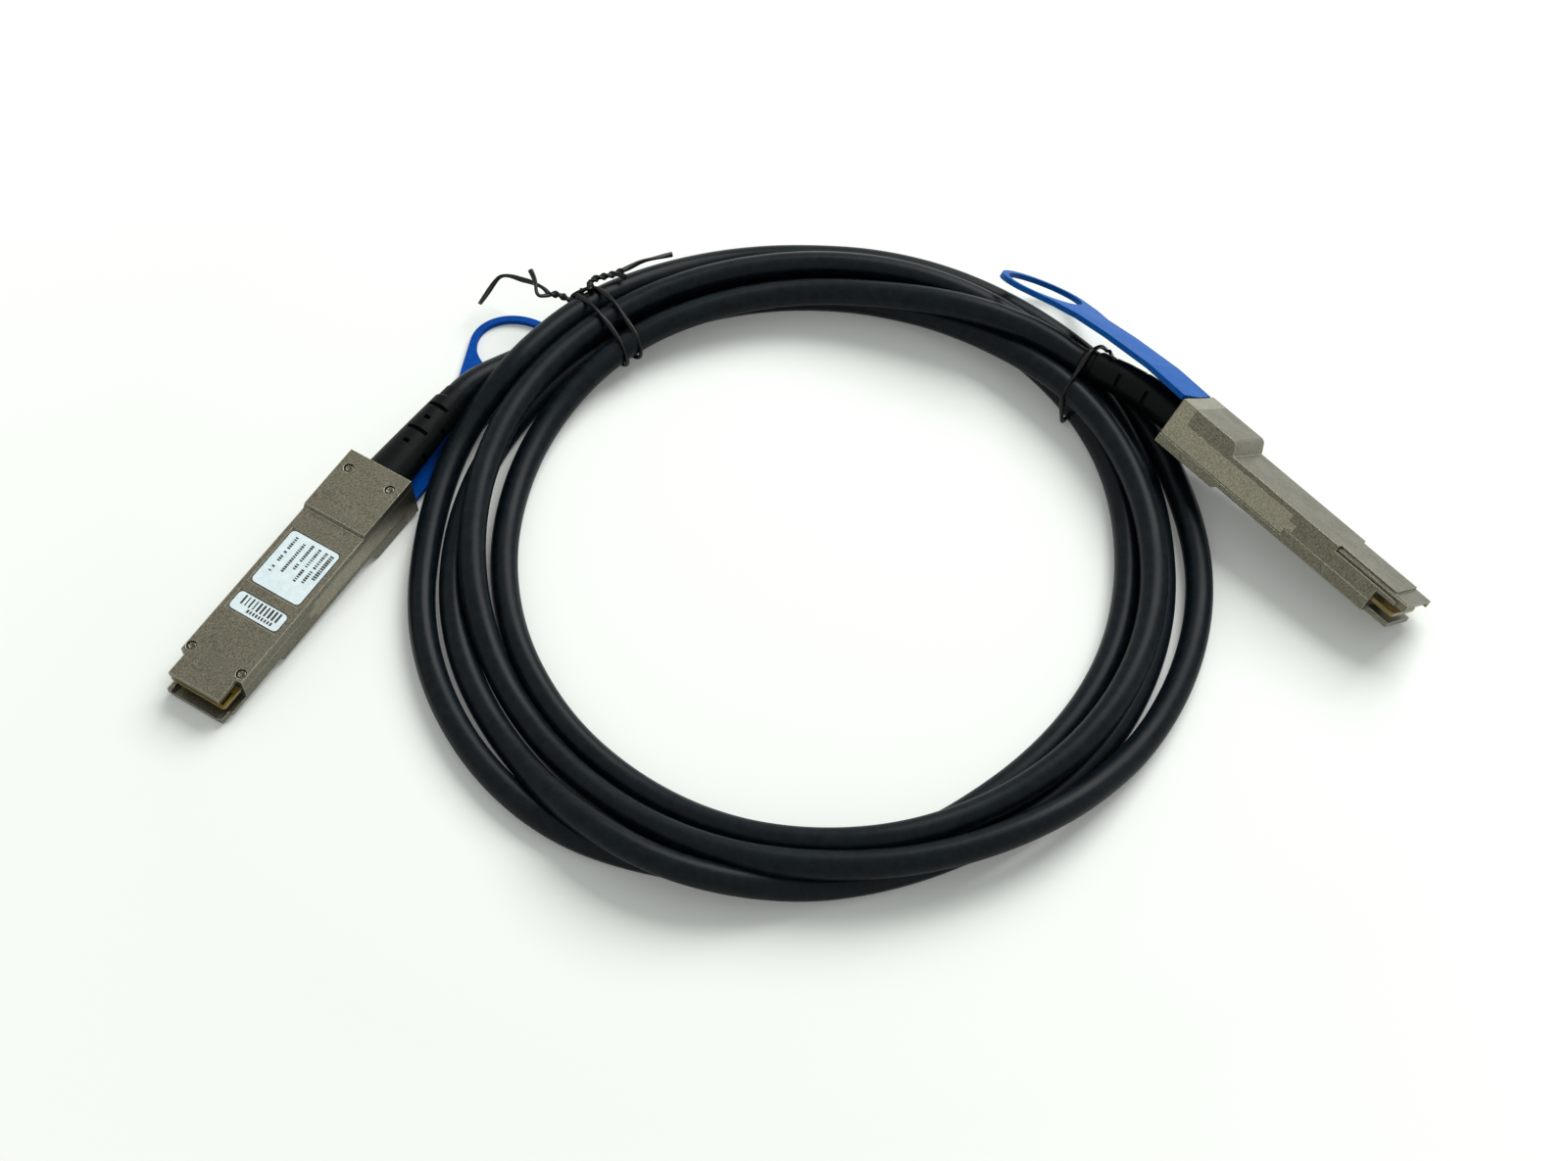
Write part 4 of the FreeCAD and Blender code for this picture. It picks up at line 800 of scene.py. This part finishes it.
def main_tie(paints: Paints) -> list[TwistTie]:
    """Lays out the tie that holds five strands: two wraps, and two tails that start as twisted pairs.

    Args:
        paints: the materials.

    Returns:
        The tie's wires.
    """
    first = round_the_turns(MAIN_TIE_ANGLE, OVER_THE_TURNS, shift=0.6, drift=-0.6)
    second = round_the_turns(MAIN_TIE_ANGLE, OVER_THE_TURNS, shift=5.8, drift=-3.0)
    left_pair = ((-57.9, 74.6, 13.1), (-59.6, 74.3, 11.2), (-61.6, 74.7, 11.0), (-64.0, 76.0, 11.5),
                 (-65.6, 76.0, 11.9), (-67.0, 75.7, 12.1))
    left_long = ((-66.8, 75.6, 12.1), (-67.7, 77.2, 12.2), (-69.9, 79.3, 11.7), (-72.5, 81.1, 11.1),
                 (-74.3, 82.2, 10.4), (-77.3, 84.2, 9.7), (-80.0, 84.9, 9.0), (-81.5, 83.7, 8.2),
                 (-83.5, 80.0, 7.5), (-85.2, 77.1, 6.9))
    left_stub = ((-66.7, 75.6, 12.1), (-68.4, 74.7, 12.5), (-69.6, 74.8, 12.7), (-70.2, 76.2, 12.9),
                 (-70.3, 78.1, 13.2), (-70.8, 80.1, 13.4), (-71.9, 82.6, 13.7))
    right_pair = ((-55.9, 75.2, 14.3), (-56.6, 77.6, 13.9), (-55.4, 79.6, 13.7), (-53.4, 80.3, 13.7),
                  (-50.9, 80.9, 13.7), (-49.3, 81.8, 13.7), (-48.0, 82.3, 13.7))
    right_long = ((-48.6, 82.2, 13.7), (-46.6, 83.8, 13.3), (-43.6, 86.6, 12.5), (-41.0, 88.6, 11.3),
                  (-35.8, 91.4, 9.9))
    right_stub = ((-50.4, 81.2, 13.7), (-49.0, 81.4, 13.9), (-47.3, 80.0, 13.9))
    return [TwistTie("wraps", paints, (*first, *second)),
            TwistTie("left_pair", paints, left_pair, **WOUND_PAIR),
            TwistTie("left_long", paints, left_long), TwistTie("left_stub", paints, left_stub),
            TwistTie("right_pair", paints, right_pair, **WOUND_PAIR),
            TwistTie("right_long", paints, right_long), TwistTie("right_stub", paints, right_stub)]


def small_tie(paints: Paints) -> list[TwistTie]:
    """Lays out the single tie behind the second plug's relief.

    Args:
        paints: the materials.

    Returns:
        The tie's one wire.
    """
    loop = ((94.4, 11.6, 0.0), (92.4, 15.2, 0.1), (89.2, 16.8, 0.5), (85.6, 16.6, 1.2), (82.4, 14.8, 2.0),
            (78.8, 13.2, 2.9), (76.4, 11.0, 3.6), (75.9, 7.6, 4.1), (76.0, 3.6, 4.4), (76.6, 0.8, 4.2),
            (82.0, 0.6, 2.6), (92.0, 0.6, 1.0), (96.8, 0.8, 0.2), (97.6, 4.0, 0.0), (96.0, 8.4, 0.0),
            (94.6, 12.0, 0.0))
    return [TwistTie("loop", paints, round_the_turns(SMALL_TIE_ANGLE, loop, drift=0.9))]


def tie_piece(name: str, wires: list[TwistTie]) -> bpy.types.Object:
    """Builds a tie's wires and joins them into one piece."""
    return link_piece(name, joined(name, [(wire.build(), Matrix.Identity(4)) for wire in wires]))


# --- what a plug carries -----------------------------------------------------------------------


@dataclass(frozen=True)
class StripRow:
    """A row of small flat strips in a plug's own frame, in millimetres.

    Attributes:
        count: how many strips the row has room for.
        pitch: the distance from strip to strip.
        widths: the narrowest and the widest strip.
        length: how long each strip is.
        start: the middle of the first strip.
        seed: the seed of the widths and the gaps.
        thickness: how thick each strip is.
        kept: the share of strips that is kept.
        crosswise: whether the row runs across the plug.
    """

    count: int
    pitch: float
    widths: tuple[float, float]
    length: float
    start: Point
    seed: int
    thickness: float = 0.02
    kept: float = 1.0
    crosswise: bool = False


# The print stands this far above the plug's label face.
PRINT_LEVEL = 0.07
# Rows of print on the large label: their place across the plug, height and room for dashes.
TEXT_ROWS = ((-5.7, 1.1, 12), (-4.0, 0.8, 15), (-2.0, 0.8, 16), (0.1, 0.8, 12), (2.2, 0.8, 15),
             (4.9, 0.8, 17))
# All print: those rows, then the stripes of the small label and the dashes beside them.
LABEL_ROWS = (
    *(StripRow(count=count, pitch=0.66, widths=(0.3, 0.56), length=tall, start=(27.2, across, PRINT_LEVEL),
               seed=11 + index, kept=0.88) for index, (across, tall, count) in enumerate(TEXT_ROWS)),
    StripRow(count=10, pitch=1.15, widths=(0.3, 0.8), length=2.7, start=(47.5, -5.4, PRINT_LEVEL), seed=29,
             crosswise=True),
    StripRow(count=9, pitch=0.86, widths=(0.45, 0.6), length=0.95, start=(49.75, -4.8, PRINT_LEVEL), seed=31,
             crosswise=True),
)
# Rings of a screw's head from its rim inwards: share of the radius and height.
HEAD_RINGS = ((1.0, 0.62), (1.0, 0.16), (0.93, 0.05), (0.8, 0.0), (0.62, -0.02), (0.4, -0.03), (0.2, -0.03))


@dataclass
class PlugDress:
    """Screw heads, contact strips and label print of one plug, at the plug's place beside the coil.

    Attributes:
        end: which plug it is.
        paints: the materials.
        place: the plug's rear end about the coil's centre, in millimetres like all lengths here.
        heading: the way that the plug points, in degrees.
        dip: how far its nose hangs, in degrees.
        roll: how far it is turned about its own length, in degrees.
        screw_rear: from the rear end to the rear pair of screws.
        screw_front: from the rear end to the front pair.
        head_gap: how deep the heads sit in their holes.
        head_turn: the most that a head is turned, in radians.
        pad_depth: how far the rear of the label face stands out.
        cross_width: width of the cross's bars.
        cross_reach: share of the head's radius that the cross takes up.
        contact_setback: from the card's front to the middle of its contacts.
        contact_lift: from the card's face to the middle of a contact.
        card_front: from the rear end to the card's front edge.
        card_low: from the label face to the card's nearer face.
        card_wall: the card's thickness.
    """

    end: End
    paints: Paints
    place: Point
    heading: float
    dip: float
    roll: float
    screw_rear: float = 4.8
    screw_rear_pitch: float = 12.5
    screw_front: float = 64.0
    screw_front_pitch: float = 15.0
    head_width: float = 2.3
    head_gap: float = 0.15
    head_sides: int = 40
    head_turn: float = 1.5
    cross_width: float = 0.48
    cross_reach: float = 0.6
    cross_depth: float = 0.5
    pad_depth: float = 1.0
    contacts: int = 19
    contact_pitch: float = 0.8
    contact_width: float = 0.54
    contact_length: float = 3.6
    contact_thickness: float = 0.04
    contact_setback: float = 2.4
    contact_lift: float = 0.01
    card_front: float = 72.4
    card_low: float = 3.1
    card_wall: float = 1.0

    def matrix(self) -> Matrix:
        """Where the plug's own frame lies in the model's, from millimetres to metres."""
        turn = Euler((math.radians(self.roll), math.radians(self.dip), math.radians(self.heading)), "XYZ")
        return Matrix.Translation(from_centre(self.place)) @ turn.to_matrix().to_4x4() @ Matrix.Scale(MM, 4)

    def screw_head(self) -> bpy.types.Mesh:
        """Shapes a domed head with a cross recess.

        Returns:
            The head in millimetres, with its top towards minus Z.
        """
        shape = bmesh.new()
        sides, radius = self.head_sides, self.head_width / 2
        grid = []
        for share, height in HEAD_RINGS:
            ring = []
            for index in range(sides):
                turn = math.tau * index / sides
                across, along = math.cos(turn), math.sin(turn)
                in_cross = min(abs(across), abs(along)) * share * radius < self.cross_width / 2
                sunk = self.cross_depth * max(0.0, 1 - (share / self.cross_reach) ** 2) if in_cross else 0.0
                ring.append(shape.verts.new((radius * share * across, radius * share * along, height + sunk)))
            grid.append(ring)
        middle = shape.verts.new((0, 0, self.cross_depth))
        for outer, inner in zip(grid, grid[1:]):
            for index in range(sides):
                after = (index + 1) % sides
                shape.faces.new((outer[index], inner[index], inner[after], outer[after]))
        for index in range(sides):
            shape.faces.new((grid[-1][index], middle, grid[-1][(index + 1) % sides]))
        shape.faces.new(grid[0])
        bmesh.ops.recalc_face_normals(shape, faces=shape.faces)
        mesh = bpy.data.meshes.new("screw_head")
        shape.to_mesh(mesh)
        shape.free()
        mesh.shade_smooth()
        return mesh

    def screws(self) -> bpy.types.Object:
        """Sets the four screws, each turned at random.

        Returns:
            The screws as one piece, to stand in for their plain node.
        """
        head = link_piece("screw_source", self.screw_head())
        tree = geometry_tree("screw_set", (
            ("Rear Place", FLOAT, 0.0), ("Rear Pitch", FLOAT, 1.0), ("Rear Level", FLOAT, 0.0),
            ("Front Place", FLOAT, 0.0), ("Front Pitch", FLOAT, 1.0), ("Front Level", FLOAT, 0.0),
            ("Screw", OBJECT, None), ("Seed", WHOLE, 3)))
        given = add(tree, "NodeGroupInput").outputs
        lines = []
        for row in ("Rear", "Front"):
            half = add(tree, "ShaderNodeMath", {0: given[row + " Pitch"], 1: -0.5},
                       operation="MULTIPLY").outputs[0]
            start = add(tree, "ShaderNodeCombineXYZ", {0: given[row + " Place"], 1: half,
                                                       2: given[row + " Level"]}).outputs[0]
            across = add(tree, "ShaderNodeCombineXYZ", {1: given[row + " Pitch"]}).outputs[0]
            lines.append(add(tree, "GeometryNodeMeshLine", {"Count": 2, "Start Location": start,
                                                            "Offset": across}).outputs[0])
        both = add(tree, "GeometryNodeJoinGeometry")
        for line in lines:
            tree.links.new(line, both.inputs[0])
        turned = add(tree, "FunctionNodeRandomValue",
                     {"Min": (0, 0, 0), "Max": (0, 0, self.head_turn), "Seed": given["Seed"]},
                     data_type="FLOAT_VECTOR").outputs[0]
        source = add(tree, "GeometryNodeObjectInfo", {"Object": given["Screw"]}).outputs["Geometry"]
        placed = add(tree, "GeometryNodeInstanceOnPoints", {"Points": both.outputs[0], "Instance": source,
                                                            "Rotation": turned}).outputs[0]
        close_tree(tree, placed, self.paints.of(SCREW_STEEL))
        mesh = grown(tree, {"Rear Place": self.screw_rear, "Rear Pitch": self.screw_rear_pitch,
                            "Rear Level": self.head_gap - self.pad_depth,
                            "Front Place": self.screw_front, "Front Pitch": self.screw_front_pitch,
                            "Front Level": self.head_gap, "Screw": head, "Seed": 3})
        bpy.data.objects.remove(head)
        mesh.transform(self.matrix())
        piece = link_piece(f"cross_head_screws_{self.end.value}", mesh)
        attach(piece, "cable_assembly")
        return piece

    def strip_tree(self, name: str, finish: Finish) -> bpy.types.NodeTree:
        """The tree that lays a row of small flat strips of one width or of random widths.

        Args:
            name: the tree's name.
            finish: what the strips are made of.

        Returns:
            The tree.
        """
        tree = geometry_tree(name, (
            ("Count", WHOLE, 2), ("Pitch", FLOAT, 1.0), ("Narrowest", FLOAT, 1.0), ("Widest", FLOAT, 1.0),
            ("Length", FLOAT, 1.0), ("Thickness", FLOAT, 0.02), ("Kept", FLOAT, 1.0), ("Seed", WHOLE, 0)))
        given = add(tree, "NodeGroupInput").outputs
        offset = add(tree, "ShaderNodeCombineXYZ", {0: given["Pitch"]}).outputs[0]
        line = add(tree, "GeometryNodeMeshLine", {"Count": given["Count"], "Offset": offset}).outputs[0]
        keep = add(tree, "FunctionNodeRandomValue", {"Probability": given["Kept"], "Seed": given["Seed"]},
                   data_type="BOOLEAN").outputs["Value"]
        drop = add(tree, "FunctionNodeBooleanMath", {0: keep}, operation="NOT").outputs[0]
        some = add(tree, "GeometryNodeDeleteGeometry", {"Geometry": line, "Selection": drop},
                   domain="POINT").outputs[0]
        # Sockets 2 and 3 are the limits of a plain number.
        wide = add(tree, "FunctionNodeRandomValue", {2: given["Narrowest"], 3: given["Widest"],
                                                     "Seed": given["Seed"]}, data_type="FLOAT")
        width = next(socket for socket in wide.outputs if socket.enabled)
        size = add(tree, "ShaderNodeCombineXYZ", {0: width, 1: given["Length"],
                                                  2: given["Thickness"]}).outputs[0]
        block = add(tree, "GeometryNodeMeshCube", {"Size": (1, 1, 1)}).outputs[0]
        placed = add(tree, "GeometryNodeInstanceOnPoints", {"Points": some, "Instance": block,
                                                            "Scale": size}).outputs[0]
        close_tree(tree, placed, self.paints.of(finish))
        return tree

    def strips(self, tree: bpy.types.NodeTree, rows: tuple[StripRow, ...], name: str) -> bpy.types.Object:
        """Lays rows of strips and joins them.

        Args:
            tree: the tree that lays one row.
            rows: what each row is like.
            name: the piece's name.

        Returns:
            The rows as one piece.
        """
        parts = []
        for row in rows:
            mesh = grown(tree, {"Count": row.count, "Pitch": row.pitch, "Narrowest": row.widths[0],
                                "Widest": row.widths[1], "Length": row.length, "Thickness": row.thickness,
                                "Kept": row.kept, "Seed": row.seed})
            turn = Matrix.Rotation(math.radians(90 if row.crosswise else 0), 4, "Z")
            parts.append((mesh, self.matrix() @ Matrix.Translation(row.start) @ turn))
        piece = link_piece(name, joined(name, parts))
        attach(piece, "cable_assembly")
        return piece

    def contact_strips(self) -> bpy.types.Object:
        """Lays the gold contact strips on both faces of the card's tongue.

        Returns:
            The strips as one piece.
        """
        place = self.card_front - self.contact_setback
        side = -self.contact_pitch * (self.contacts - 1) / 2
        levels = (self.card_low - self.contact_lift, self.card_low + self.card_wall + self.contact_lift)
        rows = tuple(StripRow(count=self.contacts, pitch=self.contact_pitch,
                              widths=(self.contact_width, self.contact_width), length=self.contact_length,
                              start=(place, side, level), seed=1, thickness=self.contact_thickness,
                              crosswise=True) for level in levels)
        return self.strips(self.strip_tree("contact_row", GOLD), rows, f"contact_strips_{self.end.value}")

    def label_print(self) -> bpy.types.Object:
        """Prints plain rows of dashes on the large label and plain stripes on the small one."""
        return self.strips(self.strip_tree("print_row", LABEL_INK), LABEL_ROWS, "label_print")


# --- putting it together -----------------------------------------------------------------------


def main() -> None:
    """Builds the studio, then the cord, its ties and what the plugs carry."""
    logging.basicConfig(level=logging.INFO, format="%(message)s")
    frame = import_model()
    studio = Studio()
    studio.camera()
    paints = Paints()
    paints.dress_nodes(frame["nodes"])

    cable = WoundCable(paints)
    cord = cable.build()
    ties = (tie_piece("main_twist_tie", main_tie(paints)), tie_piece("small_twist_tie", small_tie(paints)))
    for piece, nodes, slot in ((cord, ("cable_coil", "cable_lead_a", "cable_lead_b"), "jacket_pvc"),
                               (ties[0], ("tie_main",), "tie_plastic"),
                               (ties[1], ("tie_small",), "tie_plastic")):
        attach(piece, "cable_assembly")
        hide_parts(*nodes)
        LOG.info("%s built", piece.name)

    plugs = (
        PlugDress(End.LABEL_UP, paints, (-104.9, 19.5, 12.585), heading=-122.66, dip=3.2, roll=180.0),
        PlugDress(End.HEAT_SINK_UP, paints, (89.4, 31.1, 10.44), heading=-47.2, dip=4.0, roll=-40.64),
    )
    for plug in plugs:
        screws = plug.screws()
        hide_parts(f"shell_screws_{plug.end.value}")
        contacts = plug.contact_strips()
        LOG.info("%s and %s built", screws.name, contacts.name)
    label_print = plugs[0].label_print()
    LOG.info("%s built", label_print.name)

    studio.surroundings()
    studio.floor()
    studio.lamp()


if __name__ == "__main__":
    main()
